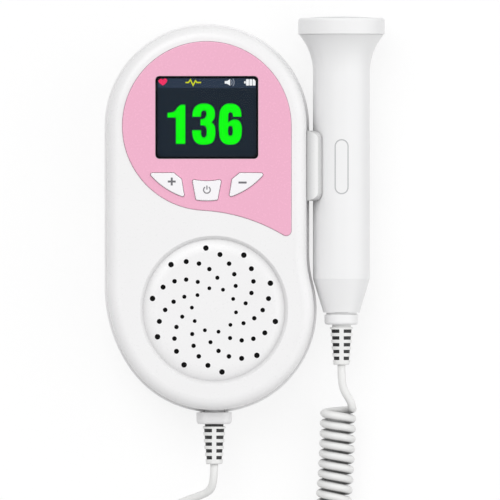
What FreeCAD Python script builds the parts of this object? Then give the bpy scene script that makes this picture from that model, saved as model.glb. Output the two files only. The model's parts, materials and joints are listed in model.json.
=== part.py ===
import FreeCAD, Part

import math
import os
import re

import Sketcher

# Hand-held fetal doppler monitor, lying on its back on a table.
#
# Frame, in millimetres: the origin is the centre of the housing's round upper end, on the flat back
# face. +X is the user's right, +Y runs from the cable end towards the display, +Z is out of the front.
# The ultrasound probe lies beside the monitor in its clip, with its axis along Y, and its face at +Y.

Vector = FreeCAD.Vector
Placement = FreeCAD.Placement
Rotation = FreeCAD.Rotation

# Driving sizes: name, value, meaning. Each is set once, here.
SIZES = [
    ("half_width", 35.1, "half width of the housing, and radius of its round upper end"),
    ("bulb_x", 2.45, "speaker end: centre of its round outline across the unit"),
    ("bulb_y", -63.05, "speaker end: centre of its round outline along the unit"),
    ("bulb_bulge", 2.55, "how far the speaker end stands out past the straight right side"),
    ("left_blend", 50.0, "radius that blends the straight left side into the speaker end"),
    ("right_blend", 40.0, "hollow radius that blends the straight right side into the bulge"),
    ("parting", 14.5, "height of the joint between the two housings"),
    ("parting_step", 0.9, "how far the rear housing stands proud of the front one at the joint"),
    ("wall", 2.4, "housing wall"),
    ("side_wall", 2.0, "side wall of the front housing"),
    ("front_round", 4.0, "rounding of the front edge"),
    ("back_round", 4.5, "rounding of the back edge"),
    ("parting_edge", 0.4, "rounding of the rear housing's edge at the joint"),
    ("inner_round", 3.0, "rounding inside the front housing"),
    ("lip_thick", 0.6, "lip of the rear housing that locates the front one"),
    ("lip_height", 1.3, "height of that lip"),
    ("fit_gap", 0.1, "clearance of a located fit"),
    ("run_gap", 0.3, "clearance of a piece that moves past another"),
    ("panel_radius", 28.95, "coloured front panel: radius of its round end"),
    ("panel_sweep", 60.0, "radius of the hollow curve along its lower edge"),
    ("panel_turn", 3.0, "where that curve starts, in degrees to the left of the lowest point"),
    ("panel_corner", 1.8, "radius of its lower tip"),
    ("panel_thick", 1.2, "its thickness"),
    ("panel_proud", 0.4, "how far it stands out of the front housing"),
    ("panel_edge", 0.35, "rounding of its rim"),
    ("window_half_width", 17.6, "display window, half its width"),
    ("window_half_height", 14.15, "display window, half its height"),
    ("window_y", 2.9, "centre of the display along the unit"),
    ("window_corner", 1.4, "corner radius of the window"),
    ("window_ledge", 0.7, "ledge under the edge of the window"),
    ("window_sink", 0.1, "how far the window lies below the panel"),
    ("key_arc", 25.6, "radius about the origin of the keys' lower edges"),
    ("key_proud", 0.8, "how far the keys stand out of the panel"),
    ("key_gap", 0.15, "gap round a key"),
    ("key_corner", 0.6, "corner radius of a key"),
    ("key_edge", 0.35, "rounding of a key's top edge"),
    ("key_flange", 0.9, "flange that keeps a key in, both its width and its thickness"),
    ("key_travel", 0.6, "stroke of a key"),
    ("side_key_x", 12.1, "switch under a side key, across the unit"),
    ("side_key_y", -19.25, "switch under a side key, along the unit"),
    ("power_key_y", -21.75, "switch under the middle key, along the unit"),
    ("switch_side", 6.0, "side of a switch body"),
    ("switch_height", 1.8, "height of a switch body"),
    ("stem_radius", 1.6, "stem of a switch"),
    ("stem_stand", 0.7, "how far a stem stands out of its switch"),
    ("dish_radius", 25.45, "dished grille over the speaker"),
    ("dish_middle", 0.3, "depth of the dish at its middle"),
    ("dish_depth", 1.4, "depth of the dish at its rim"),
    ("dish_rim", 1.2, "width of the slope outside that"),
    ("dish_roll", 4.5, "width over which the middle curves down to the rim"),
    ("grille_arms", 10, "number of curved arms of holes"),
    ("speaker_radius", 22.8, "loudspeaker"),
    ("speaker_depth", 7.3, "depth of the loudspeaker"),
    ("speaker_gap", 0.4, "gap between the loudspeaker and the battery compartment"),
    ("mesh_thick", 0.3, "dust mesh over the loudspeaker"),
    ("magnet_radius", 10.0, "magnet of the loudspeaker"),
    ("speaker_rib", 1.2, "rib that locates the loudspeaker"),
    ("basket_thick", 0.8, "steel of its basket"),
    ("basket_rim", 1.4, "rim of its basket, both its width and its height"),
    ("cone_cap", 5.6, "radius of the dust cap of its cone"),
    ("cone_thick", 0.4, "paper of its cone"),
    ("board_drop", 4.0, "inside of the front to the circuit board"),
    ("board_thick", 1.6, "circuit board"),
    ("board_half_width", 31.0, "half the width of the board, and radius of its upper corners"),
    ("board_high", 21.85, "upper edge of the board"),
    ("board_low", -36.35, "lower edge of the board"),
    ("lcd_half_width", 23.35, "display module, half its width"),
    ("lcd_half_height", 17.35, "display module, half its height"),
    ("lcd_thick", 2.75, "display module"),
    ("gasket_thick", 0.8, "foam gasket in front of the display module"),
    ("gasket_width", 2.6, "its width round the window"),
    ("board_screw_x", 28.0, "board screws, across"),
    ("board_screw_high", 8.65, "upper board screws"),
    ("board_screw_low", -28.35, "lower board screws"),
    ("board_boss", 2.5, "radius of a boss that carries the board"),
    ("board_shank", 0.8, "board screw, radius of its shank"),
    ("case_screw_x", 9.0, "upper case screws, across"),
    ("case_screw_y", 25.55, "upper case screws, along"),
    ("case_screw_inset", 7.6, "lower case screws, in from the outline"),
    ("case_boss", 3.0, "boss of the front housing"),
    ("case_post", 4.2, "post of the rear housing"),
    ("case_head", 2.6, "case screw, radius of its head"),
    ("case_shank", 1.25, "case screw, radius of its shank"),
    ("case_sink", 3.0, "depth of the recess for a case screw's head"),
    ("head_thick", 1.8, "case screw, thickness of its head"),
    ("case_length", 18.0, "case screw, length of its shank"),
    ("board_head", 2.0, "board screw, radius of its head"),
    ("board_head_thick", 1.2, "board screw, thickness of its head"),
    ("board_length", 4.6, "board screw, length of its shank"),
    ("driver_slot", 0.7, "width of the slot in a screw's head"),
    ("bay_high", -9.85, "battery compartment, its upper end"),
    ("bay_wall", 1.2, "its roof"),
    ("bay_side", 1.6, "its side walls"),
    ("door_margin", 3.0, "how far the battery door reaches past the compartment"),
    ("door_thick", 1.8, "battery door"),
    ("door_ledge", 1.7, "ledge that the door lies on"),
    ("hook_length", 1.7, "hooks at the upper end of the door, past its edge"),
    ("hook_root", 0.5, "how far they lie on the door"),
    ("hook_thick", 1.0, "their thickness"),
    ("hook_width", 5.0, "their width"),
    ("hook_x", 11.0, "their place across the door"),
    ("rib_half_width", 8.0, "half the width of the ribs inside the door"),
    ("rib_inset", 4.0, "first rib, from the end of the battery compartment"),
    ("rib_thick", 1.2, "thickness of a rib"),
    ("door_ribs", 4, "number of ribs"),
    ("grip_half_width", 6.0, "half the width of the thumb grip on the door"),
    ("grip_inset", 5.0, "thumb grip, from the lower edge of the door"),
    ("grip_groove", 0.8, "width of a groove of the thumb grip"),
    ("grip_deep", 0.5, "depth of a groove"),
    ("grip_length", 8.0, "length of the thumb grip"),
    ("grip_grooves", 6, "number of grooves"),
    ("cell_radius", 7.1, "battery cell"),
    ("cell_length", 50.5, "battery cell over its nub"),
    ("cell_gap", 1.0, "gap between the battery cells"),
    ("cell_side", 1.3, "gap from the battery cells to the side walls of their compartment"),
    ("cell_rise", 0.4, "gap between the battery cells and the door"),
    ("cell_roof", 0.3, "gap between the battery cells and the roof of their compartment"),
    ("spring_room", 6.0, "room along the battery cells for their springs and contacts"),
    ("nub_length", 1.3, "nub of a battery cell"),
    ("nub_radius", 2.6, "nub of a battery cell"),
    ("contact_thick", 0.4, "battery contacts"),
    ("contact_split", 1.5, "half the gap between the two upper contacts"),
    ("contact_inset", 0.6, "edge of a contact, from the side of its cell"),
    ("spring_wire", 0.45, "battery spring, radius of its wire"),
    ("jack_gap", 0.25, "headphone socket to the battery compartment"),
    ("jack_bore", 1.8, "headphone socket, radius of its bore"),
    ("jack_nose", 2.7, "headphone socket, radius of its nose"),
    ("jack_length", 12.0, "headphone socket, its body"),
    ("jack_height", 5.6, "headphone socket, its body"),
    ("jack_width", 8.0, "headphone socket, its body"),
    ("jack_floor", 1.0, "headphone socket, what is left behind its bore"),
    ("gland_x", 2.5, "cable gland, across the unit"),
    ("gland_neck", 3.4, "cable gland, neck through the wall"),
    ("gland_flange", 5.0, "cable gland, flange inside the wall"),
    ("gland_half_width", 6.1, "cable gland, half the width of its collar"),
    ("gland_half_depth", 4.8, "cable gland, half the depth of its collar"),
    ("gland_length", 4.0, "cable gland, its collar"),
    ("gland_edge", 1.18, "cable gland, rounding of its collar"),
    ("boot_base", 4.0, "strain relief, radius at its thick end"),
    ("boot_tip", 2.85, "strain relief, radius at its thin end"),
    ("boot_deep", 0.4, "depth of its slots"),
    ("boot_length", 13.75, "strain relief"),
    ("boot_neck", 3.2, "strain relief, radius of the groove against its collar"),
    ("boot_groove", 0.8, "width of that groove"),
    ("boot_first", 2.2, "first slot, from the thick end"),
    ("boot_pitch", 2.33, "distance between slots"),
    ("boot_slot", 1.2, "width of a slot"),
    ("boot_slots", 5, "number of slots"),
    ("boot_spine", 1.5, "width of the spines that cross the slots"),
    ("cord_radius", 1.4, "radius of the cord"),
    ("curly_radius", 6.275, "outer radius of the curly part of the cord"),
    ("probe_side", 11.1, "axis of the probe, from the straight side of the unit"),
    ("probe_z", 15.3, "axis of the probe, above the table"),
    ("probe_face_y", 37.15, "face of the probe, along the unit"),
    ("head_radius", 14.85, "head of the probe"),
    ("head_length", 5.6, "straight rim of the head"),
    ("head_edge", 1.0, "rounding of the head"),
    ("spigot_radius", 9.6, "spigot of the head, inside the handle"),
    ("spigot_length", 2.2, "spigot of the head, inside the handle"),
    ("spigot_wall", 1.0, "wall of the spigot and of the head behind the crystals"),
    ("crease_radius", 14.6, "handle where it meets the head"),
    ("grip_radius", 9.78, "handle"),
    ("flare_end", 18.5, "end of the flare, from the probe's face"),
    ("taper_start", 89.5, "start of the handle's tapered end"),
    ("handle_end", 101.1, "end of the handle"),
    ("tail_radius", 6.2, "handle at its end"),
    ("probe_wall", 1.6, "wall of the probe's shells"),
    ("collar_radius", 5.8, "collar between the handle and its strain relief"),
    ("collar_start", 101.8, "start of that collar"),
    ("collar_length", 3.5, "its length"),
    ("collar_neck", 2.2, "its neck, through the end wall of the handle"),
    ("collar_flange", 3.6, "its flange inside the handle"),
    ("flange_thick", 1.4, "thickness of the flanges of both collars"),
    ("tail_wall", 1.2, "end wall of the handle"),
    ("face_radius", 12.8, "acoustic window of the probe"),
    ("face_thick", 1.6, "acoustic window of the probe"),
    ("face_dome", 0.4, "how far its middle is domed"),
    ("crystal_radius", 10.2, "piezo crystals"),
    ("crystal_thick", 1.0, "piezo crystals"),
    ("crystal_gap", 0.5, "half the gap between the two crystals"),
    ("backing_thick", 2.0, "damping block behind the crystals"),
    ("probe_board_length", 66.0, "circuit board in the handle"),
    ("probe_board_half_width", 6.0, "circuit board in the handle"),
    ("clip_low", -25.65, "probe clip, its lower end along the unit"),
    ("clip_length", 24.1, "probe clip, its length"),
    ("clip_thick", 2.0, "probe clip, its wall"),
    ("clip_angle", 132.0, "direction of the clip's front edge, seen from the probe's face"),
    ("clip_corner", 2.9, "rounded corners of the clip's front lip"),
    ("clip_screw_z", 8.0, "height of the clip's screws"),
    ("clip_screw_pitch", 11.5, "distance between the clip's screws"),
    ("clip_foot", 222.0, "direction of the outer edge of the clip's foot, seen from the probe's face"),
    ("clip_shank", 0.95, "clip screw, radius of its shank"),
    ("clip_head", 1.9, "clip screw, radius of its head"),
    ("clip_head_thick", 1.3, "clip screw, thickness of its head"),
    ("clip_grip", 3.0, "length of a clip screw in the clip"),
]

# Sizes that follow from the ones above, as expressions on the sheet. The depth of the unit is what it
# holds: the door, the cells and their compartment, and the loudspeaker and its mesh above them.
CELL_X = "(cell_radius + cell_gap / 2)"
CELL_Z = "(door_thick + run_gap + cell_rise + cell_radius)"
BAY_HALF_WIDTH = "(2 * cell_radius + cell_gap / 2 + cell_side)"
BAY_HEIGHT = "(door_thick + run_gap + cell_rise + 2 * cell_radius + cell_roof)"
BAY_LENGTH = "(cell_length + spring_room)"
UNIT_DEPTH = f"({BAY_HEIGHT} + bay_wall + speaker_gap + speaker_depth + mesh_thick + wall + panel_proud)"
PROBE_X = "(half_width + probe_side)"
FRONT_FACE = f"({UNIT_DEPTH} - panel_proud)"
CEILING = f"({UNIT_DEPTH} - panel_proud - wall)"
BULB_RADIUS = "(half_width + bulb_bulge - bulb_x)"
BOARD_TOP = f"({UNIT_DEPTH} - panel_proud - wall - board_drop)"
BOARD_BOTTOM = f"({UNIT_DEPTH} - panel_proud - wall - board_drop - board_thick)"
JACK_Y = "(bay_high + bay_side + jack_gap + jack_width / 2)"
JACK_Z = f"({BOARD_BOTTOM} - jack_height / 2)"
BAY_LOW = f"(bay_high - {BAY_LENGTH})"
DOOR_LOW = f"(bay_high - {BAY_LENGTH} - door_margin)"
DOOR_HIGH = "(bay_high + door_margin)"
UNIT_END = "(bulb_y - half_width - bulb_bulge + bulb_x)"
CLIP_RADIUS = "(grip_radius + run_gap)"

# The grille: one curved arm of holes, from the rim to the middle, as ring radius, angle clockwise from
# +Y and hole diameter.
GRILLE_ARM = [
    (21.4, -7.4, 1.90),
    (19.1, 6.2, 1.75),
    (16.7, 18.1, 1.60),
    (14.1, 29.6, 1.55),
    (11.1, 42.1, 1.45),
    (7.6, 60.1, 1.35),
]

# Corner points of the keys, before their corners are rounded.
SIDE_KEY = [(19.9, -16.1), (11.3, -16.05), (8.65, -18.2), (7.6, -24.44)]
POWER_KEY_TOP = (5.05, -18.25)
POWER_KEY_DIP = -18.85
POWER_KEY_FOOT = 3.7

# Routes of the cord, as points (x, y, z) that its runs and bends follow.
UNIT_LEAD_ROUTE = [
    (2.5, -116.0, 14.5),
    (2.5, -120.5, 14.5),
    (1.4, -125.2, 12.4),
    (-3.2, -127.25, 9.2),
    (-9.2, -129.25, 5.6),
    (-15.8, -133.25, 2.7),
    (-22.0, -139.6, 1.42),
    (-26.2, -147.2, 1.4),
    (-27.2, -155.6, 1.4),
    (-25.0, -163.9, 1.4),
    (-21.2, -170.2, 1.4),
    (-17.4, -172.8, 1.43),
    (-13.74, -172.95, 1.43),
]
CURLY_ROUTE = [
    (45.2, -96.95, 9.0),
    (44.6, -119.5, 6.6),
    (42.0, -142.0, 6.3),
    (28.64, -161.42, 6.3),
    (8.33, -172.21, 6.3),
    (-13.66, -172.95, 6.3),
]
PROBE_LEAD_ROUTE = [
    (46.2, -81.9, 15.3),
    (46.2, -85.6, 15.3),
    (46.7, -89.4, 13.6),
    (49.2, -92.2, 10.4),
    (50.0, -96.6, 9.08),
]
ARC_SHARE = 0.45  # of the shorter run, for the bend between two runs
MAX_VOLUME_ERROR = 0.01  # of a tube against its section times its length

doc = FreeCAD.newDocument("FetalDoppler")
sheet = doc.addObject("Spreadsheet::Sheet", "Sizes")
ALIASES = {name for name, _, _ in SIZES}
nodes = []


# Sizes -------------------------------------------------------------------------------------------


def fill_sheet():
    """Writes every driving size into the sheet, with its alias and its meaning."""
    for row, (name, value, meaning) in enumerate(SIZES, start=1):
        sheet.set(f"A{row}", name)
        sheet.set(f"B{row}", str(value))
        sheet.set(f"C{row}", meaning)
        sheet.setAlias(f"B{row}", name)
    doc.recompute()


def size(expression):
    """The value of an expression on the sheet's names."""
    return float(sheet.evalExpression(str(expression)))


def bind(thing, prop, expression):
    """Ties a property to an expression on the sheet's names."""
    text = re.sub(r"[a-z][a-z_]+", lambda m: f"Sizes.{m[0]}" if m[0] in ALIASES else m[0], str(expression))
    thing.setExpression(prop, text)


# Flat outlines -----------------------------------------------------------------------------------


def point(x, y):
    return Vector(x, y, 0)


def polar(centre, radius, degrees):
    angle = math.radians(degrees)
    return point(centre[0] + radius * math.cos(angle), centre[1] + radius * math.sin(angle))


def line(start, end):
    return Part.LineSegment(start, end).toShape()


def arc(centre, radius, first, last):
    """An arc about a centre, from one angle to another, either way round."""
    ends = [polar(centre, radius, degrees) for degrees in (first, (first + last) / 2, last)]
    return Part.Arc(*ends).toShape()


def chain(start, *steps):
    """A closed wire from a start point. A step is an end point, or (middle point, end point) for an arc."""
    edges, here = [], point(*start)
    for step in steps:
        if isinstance(step[0], tuple):
            middle, end = point(*step[0]), point(*step[1])
            edges.append(Part.Arc(here, middle, end).toShape())
        else:
            end = point(*step)
            edges.append(line(here, end))
        here = end
    if (here - point(*start)).Length > 1e-6:
        edges.append(line(here, point(*start)))
    return Part.Wire(edges)


def cap_middle(radius, axis_level, rim_level):
    """The point half way out on an arc that crosses its axis squarely and ends at the rim."""
    rise = rim_level - axis_level
    sphere = (radius**2 + rise**2) / (2 * rise)
    return (radius / 2, axis_level + sphere - math.copysign(math.sqrt(sphere**2 - radius**2 / 4), sphere))


def rectangle(low_x, low_y, high_x, high_y, corner=0.0):
    wire = chain((low_x, low_y), (high_x, low_y), (high_x, high_y), (low_x, high_y))
    return rounded(wire, corner) if corner else wire


def rounded(wire, radius):
    """The same outline with its outward corners rounded."""
    return wire.makeOffset2D(-radius).makeOffset2D(radius)


def disc(x, y, radius):
    return Part.Wire([Part.Circle(point(x, y), Vector(0, 0, 1), radius).toShape()])


def unit_outline(inset):
    """The housing's outline, moved inwards: every arc keeps its centre, so the wall is even."""
    half_width, bulb_radius = size("half_width"), size(BULB_RADIUS)
    bulb = (size("bulb_x"), size("bulb_y"))
    left_radius, right_radius = size("left_blend"), size("right_blend")
    left_x = left_radius - half_width
    left_y = bulb[1] + math.sqrt((left_radius - bulb_radius) ** 2 - (left_x - bulb[0]) ** 2)
    right_x = right_radius + half_width
    right_y = bulb[1] + math.sqrt((right_radius + bulb_radius) ** 2 - (right_x - bulb[0]) ** 2)
    left_turn = 180 + math.degrees(math.atan2(left_y - bulb[1], left_x - bulb[0]))
    right_turn = math.degrees(math.atan2(right_y - bulb[1], right_x - bulb[0]))
    side = half_width - inset
    return Part.Wire([
        arc((0, 0), side, 0, 180),
        line(point(-side, 0), point(-side, left_y)),
        arc((left_x, left_y), left_radius - inset, 180, left_turn),
        arc(bulb, bulb_radius - inset, left_turn, 360 + right_turn),
        arc((right_x, right_y), right_radius + inset, 180 + right_turn, 180),
        line(point(side, right_y), point(side, 0)),
    ])


def panel_outline(growth=0.0):
    """The panel: round above, with a hollow lower edge that sweeps down to a tip on the right."""
    radius, sweep, corner = size("panel_radius"), size("panel_sweep"), size("panel_corner")
    start = size("panel_turn")
    middle = polar((0, 0), radius + sweep, 270 - start)
    corner_x = radius - corner
    corner_y = middle.y + math.sqrt((sweep + corner) ** 2 - (corner_x - middle.x) ** 2)
    turn = math.degrees(math.atan2(corner_y - middle.y, corner_x - middle.x))
    wire = Part.Wire([
        arc((0, 0), radius, 0, 270 - start),
        arc((middle.x, middle.y), sweep, 90 - start, turn),
        arc((corner_x, corner_y), corner, turn - 180, 0),
        line(point(radius, corner_y), point(radius, 0)),
    ])
    return wire.makeOffset2D(growth) if growth else wire


def window_outline(growth=0.0):
    half_width = size("window_half_width") + growth
    half_height = size("window_half_height") + growth
    middle = size("window_y")
    corner = size("window_corner")
    return rectangle(-half_width, middle - half_height, half_width, middle + half_height, corner)


def key_outline(side, growth=0.0):
    """A key's outline: side is -1 for the left one, 1 for the right one and 0 for the middle one."""
    radius = size("key_arc")
    if side:
        outer, _, _, inner = [(side * x, y) for x, y in SIDE_KEY]
        start = (side * SIDE_KEY[0][0], -math.sqrt(radius**2 - outer[0] ** 2))
        foot = (side * SIDE_KEY[3][0], -math.sqrt(radius**2 - inner[0] ** 2))
        corners = [(side * x, y) for x, y in SIDE_KEY[1:3]]
        steps = [*corners, foot]
    else:
        start = (-POWER_KEY_FOOT, -math.sqrt(radius**2 - POWER_KEY_FOOT**2))
        foot = (POWER_KEY_FOOT, start[1])
        top = POWER_KEY_TOP
        steps = [(-top[0], top[1]), ((0, POWER_KEY_DIP), top), foot]
    between = math.atan2(start[1] + foot[1], start[0] + foot[0])
    low_point = (radius * math.cos(between), radius * math.sin(between))
    wire = rounded(chain(start, *steps, (low_point, start)), size("key_corner"))
    return wire.makeOffset2D(growth) if growth else wire


# Document objects --------------------------------------------------------------------------------


def keep(thing, name):
    """Marks a document object as a finished sub-part, which gives its node and its file."""
    thing.Label = name
    nodes.append(thing)
    return thing


def new_body(name):
    return keep(doc.addObject("PartDesign::Body", name), name)


def place(thing, x=0, y=0, z=0):
    """Ties the position of a body or primitive to expressions."""
    for axis, expression in zip("xyz", (x, y, z)):
        bind(thing, f"Placement.Base.{axis}", expression)


def new_sketch(body, name, plane="XY_Plane", level=0, right=0, up=0):
    """A sketch on one of its body's planes, moved along its normal and in its own plane."""
    sketch = body.newObject("Sketcher::SketchObject", name)
    origin_plane = next(f for f in body.Origin.OriginFeatures if f.Role == plane)
    sketch.AttachmentSupport = [(origin_plane, "")]
    sketch.MapMode = "FlatFace"
    for axis, expression in zip("xyz", (right, up, level)):
        bind(sketch, f"AttachmentOffset.Base.{axis}", expression)
    return sketch


def draw(sketch, *wires):
    """Copies the lines and arcs of closed wires into a sketch and joins their ends."""
    for wire in wires:
        drawn = []
        for edge in wire.OrderedEdges:
            first, last = edge.FirstParameter, edge.LastParameter
            start, middle, end = (edge.valueAt(v) for v in (first, (first + last) / 2, last))
            if isinstance(edge.Curve, Part.Line):
                shape = Part.LineSegment(start, end)
            elif edge.isClosed():
                shape = edge.Curve
            else:
                shape = Part.Arc(start, middle, end)
            drawn.append(sketch.addGeometry(shape, False))
        if len(drawn) > 1:
            join_ends(sketch, drawn)
    return sketch


def join_ends(sketch, drawn):
    taken, constraints = set(), []
    for this, other in zip(drawn, drawn[1:] + drawn[:1]):
        pairs = [(a, b) for a in (1, 2) for b in (1, 2) if not {(this, a), (other, b)} & taken]
        a, b = min(pairs, key=lambda p: (sketch.getPoint(this, p[0]) - sketch.getPoint(other, p[1])).Length)
        taken |= {(this, a), (other, b)}
        constraints.append(Sketcher.Constraint("Coincident", this, a, other, b))
    sketch.addConstraint(constraints)


def draw_circle(sketch, x, y, radius):
    """A circle whose centre and radius are bound to expressions."""
    shape = Part.Circle(point(size(x), size(y)), Vector(0, 0, 1), size(radius))
    index = sketch.addGeometry(shape, False)
    for kind, expression in (("DistanceX", x), ("DistanceY", y)):
        number = sketch.addConstraint(Sketcher.Constraint(kind, -1, 1, index, 3, size(expression)))
        bind(sketch, f"Constraints[{number}]", expression)
    number = sketch.addConstraint(Sketcher.Constraint("Radius", index, size(radius)))
    bind(sketch, f"Constraints[{number}]", radius)
    return sketch


def draw_box(sketch, low_x, high_x, low_y, high_y):
    """A rectangle whose two opposite corners are bound to expressions."""
    first = sketch.GeometryCount
    draw(sketch, rectangle(size(low_x), size(low_y), size(high_x), size(high_y)))
    for side in range(4):
        shape = sketch.Geometry[first + side]
        level = abs(shape.StartPoint.y - shape.EndPoint.y) < 1e-6
        sketch.addConstraint(Sketcher.Constraint("Horizontal" if level else "Vertical", first + side))
    corners = ((low_x, low_y), (high_x, high_y))
    for x, y in corners:
        where = point(size(x), size(y))
        ends = [(first + side, end) for side in range(4) for end in (1, 2)]
        index, end = min(ends, key=lambda e: (sketch.getPoint(*e) - where).Length)
        for kind, expression in (("DistanceX", x), ("DistanceY", y)):
            number = sketch.addConstraint(Sketcher.Constraint(kind, -1, 1, index, end, size(expression)))
            bind(sketch, f"Constraints[{number}]", expression)
    return sketch


def pad(body, sketch, length, reversed_way=False):
    feature = body.newObject("PartDesign::Pad", f"{sketch.Name}_pad")
    feature.Profile = sketch
    feature.Reversed = reversed_way
    bind(feature, "Length", length)
    return feature


def pocket(body, sketch, depth, forwards=False):
    """Cuts against the sketch's normal, or forwards along it."""
    feature = body.newObject("PartDesign::Pocket", f"{sketch.Name}_pocket")
    feature.Profile = sketch
    feature.Reversed = forwards
    bind(feature, "Length", depth)
    return feature


def revolve(body, sketch, angle=360, reversed_way=False, axis="V_Axis"):
    feature = body.newObject("PartDesign::Revolution", f"{sketch.Name}_turn")
    feature.Profile = sketch
    feature.ReferenceAxis = (sketch, [axis])
    feature.Angle = angle
    feature.Reversed = reversed_way
    return feature


def groove(body, sketch):
    feature = body.newObject("PartDesign::Groove", f"{sketch.Name}_groove")
    feature.Profile = sketch
    feature.ReferenceAxis = (sketch, ["V_Axis"])
    feature.Angle = 360
    return feature


def repeat_around(body, feature, sketch, count):
    """A polar pattern about the origin of a sketch, normal to it."""
    pattern = body.newObject("PartDesign::PolarPattern", f"{feature.Name}_around")
    pattern.Originals = [feature]
    pattern.Axis = (sketch, ["N_Axis"])
    pattern.Angle = 360
    bind(pattern, "Occurrences", count)
    body.Tip = pattern
    return pattern


def repeat_along(body, feature, sketch, axis, length, count):
    pattern = body.newObject("PartDesign::LinearPattern", f"{feature.Name}_along")
    pattern.Originals = [feature]
    pattern.Direction = (sketch, [axis])
    bind(pattern, "Length", length)
    bind(pattern, "Occurrences", count)
    body.Tip = pattern
    return pattern


def fillet(body, feature, edges, radius):
    rounding = body.newObject("PartDesign::Fillet", f"{feature.Name}_round")
    rounding.Base = (feature, edges)
    bind(rounding, "Radius", radius)
    return rounding


def rim_edges(feature, level):
    """Names of the outer edges of the flat faces at a height."""
    doc.recompute()
    shape, height = feature.Shape, size(level)
    rims = []
    for face in shape.Faces:
        box = face.BoundBox
        if abs(box.ZMin - height) < 1e-4 and abs(box.ZMax - height) < 1e-4:
            rims += face.OuterWire.Edges
    return edge_names(shape, lambda edge: any(edge.isSame(rim) for rim in rims))


def edge_names(shape, wanted):
    return [f"Edge{number}" for number, edge in enumerate(shape.Edges, start=1) if wanted(edge)]


def cylinder(name, radius, height, x, y, z, direction=Vector(0, 0, 1)):
    thing = doc.addObject("Part::Cylinder", name)
    bind(thing, "Radius", radius)
    bind(thing, "Height", height)
    thing.Placement = Placement(Vector(), Rotation(Vector(0, 0, 1), direction))
    place(thing, x, y, z)
    return thing


def block(name, low, high):
    """A box between two corners, each three expressions."""
    thing = doc.addObject("Part::Box", name)
    for prop, start, end in zip(("Length", "Width", "Height"), low, high):
        bind(thing, prop, f"({end}) - ({start})")
    place(thing, *low)
    return thing


def fuse(name, *things):
    union = doc.addObject("Part::MultiFuse", name)
    union.Shapes = list(things)
    return union


def cut(name, base, tool):
    difference = doc.addObject("Part::Cut", name)
    difference.Base = base
    difference.Tool = tool
    return difference


def group(name, things):
    """Several separate solids that make one node."""
    compound = doc.addObject("Part::Compound", name)
    compound.Links = list(things)
    return keep(compound, name)


# Housings ----------------------------------------------------------------------------------------


def case_screw_places():
    """The four screws that hold the housings together, as pairs of expressions."""
    reach = f"(({BULB_RADIUS} - case_screw_inset) * sqrt(0.5))"
    upper = [("-case_screw_x", "case_screw_y"), ("case_screw_x", "case_screw_y")]
    lower = [(f"bulb_x - {reach}", f"bulb_y - {reach}"), (f"bulb_x + {reach}", f"bulb_y - {reach}")]
    return upper + lower


def board_screw_places():
    return [
        (f"{side} * board_screw_x", height)
        for side in (-1, 1)
        for height in ("board_screw_high", "board_screw_low")
    ]


def front_housing():
    """Moulded front shell: rounded edge, dished grille, panel recess, and the openings in it."""
    body = new_body("front_housing")
    shell(body)
    grille(body)
    front_openings(body)
    front_bosses(body)
    gland_hole(body, "front_gland_hole")
    sketch = new_sketch(body, "jack_hole", "YZ_Plane", level="-half_width - 1")
    draw_circle(sketch, JACK_Y, JACK_Z, "jack_nose + fit_gap")
    pocket(body, sketch, "wall + parting_step + 2", forwards=True)


def shell(body):
    outside = draw(new_sketch(body, "front_outline", level="parting"), unit_outline(size("parting_step")))
    block_feature = pad(body, outside, f"{FRONT_FACE} - parting")
    fillet(body, block_feature, rim_edges(block_feature, FRONT_FACE), "front_round")
    inset = size("parting_step + side_wall")
    inside = draw(new_sketch(body, "front_inside", level="parting"), unit_outline(inset))
    hollow = pocket(body, inside, f"{CEILING} - parting", forwards=True)
    fillet(body, hollow, rim_edges(hollow, CEILING), "inner_round")
    rebate_inset = size("wall - lip_thick - fit_gap")
    rebate = draw(new_sketch(body, "lip_rebate", level="parting"), unit_outline(rebate_inset))
    pocket(body, rebate, "lip_height + 2 * fit_gap", forwards=True)


def grille(body):
    """A shallow dish that is deepest at its rim, pierced by curved arms of holes that shrink inwards."""
    radius, depth, rim = size("dish_radius"), size("dish_depth"), size("dish_rim")
    roll, middle = size("dish_roll"), size("dish_middle")
    face = size(FRONT_FACE)
    dish = new_sketch(body, "dish", "XZ_Plane", level="-bulb_y", right="bulb_x")
    flat = radius - rim - roll
    across, level = cap_middle(roll, face - middle, face - depth)
    profile = chain(
        (0, face + 1),
        (0, face - middle),
        (flat, face - middle),
        ((flat + across, level), (radius - rim, face - depth)),
        ((radius - 0.4 * rim, face - 0.34 * depth), (radius, face)),
        (radius, face + 1),
    )
    groove(body, draw(dish, profile))
    holes = new_sketch(body, "grille_arm", level=FRONT_FACE, right="bulb_x", up="bulb_y")
    for ring, angle, diameter in GRILLE_ARM:
        draw(holes, disc(*polar((0, 0), ring, 90 - angle)[:2], diameter / 2))
    arm = pocket(body, holes, "wall + 1")
    repeat_around(body, arm, holes, "grille_arms")


def front_openings(body):
    recess = draw(new_sketch(body, "panel_recess", level=FRONT_FACE), panel_outline(size("fit_gap")))
    pocket(body, recess, "panel_thick - panel_proud")
    through = new_sketch(body, "front_openings", level=FRONT_FACE)
    draw(through, window_outline(-size("window_ledge")))
    draw(through, *[key_outline(side, size("key_gap")) for side in (-1, 0, 1)])
    pocket(body, through, "wall + 1")


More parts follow.
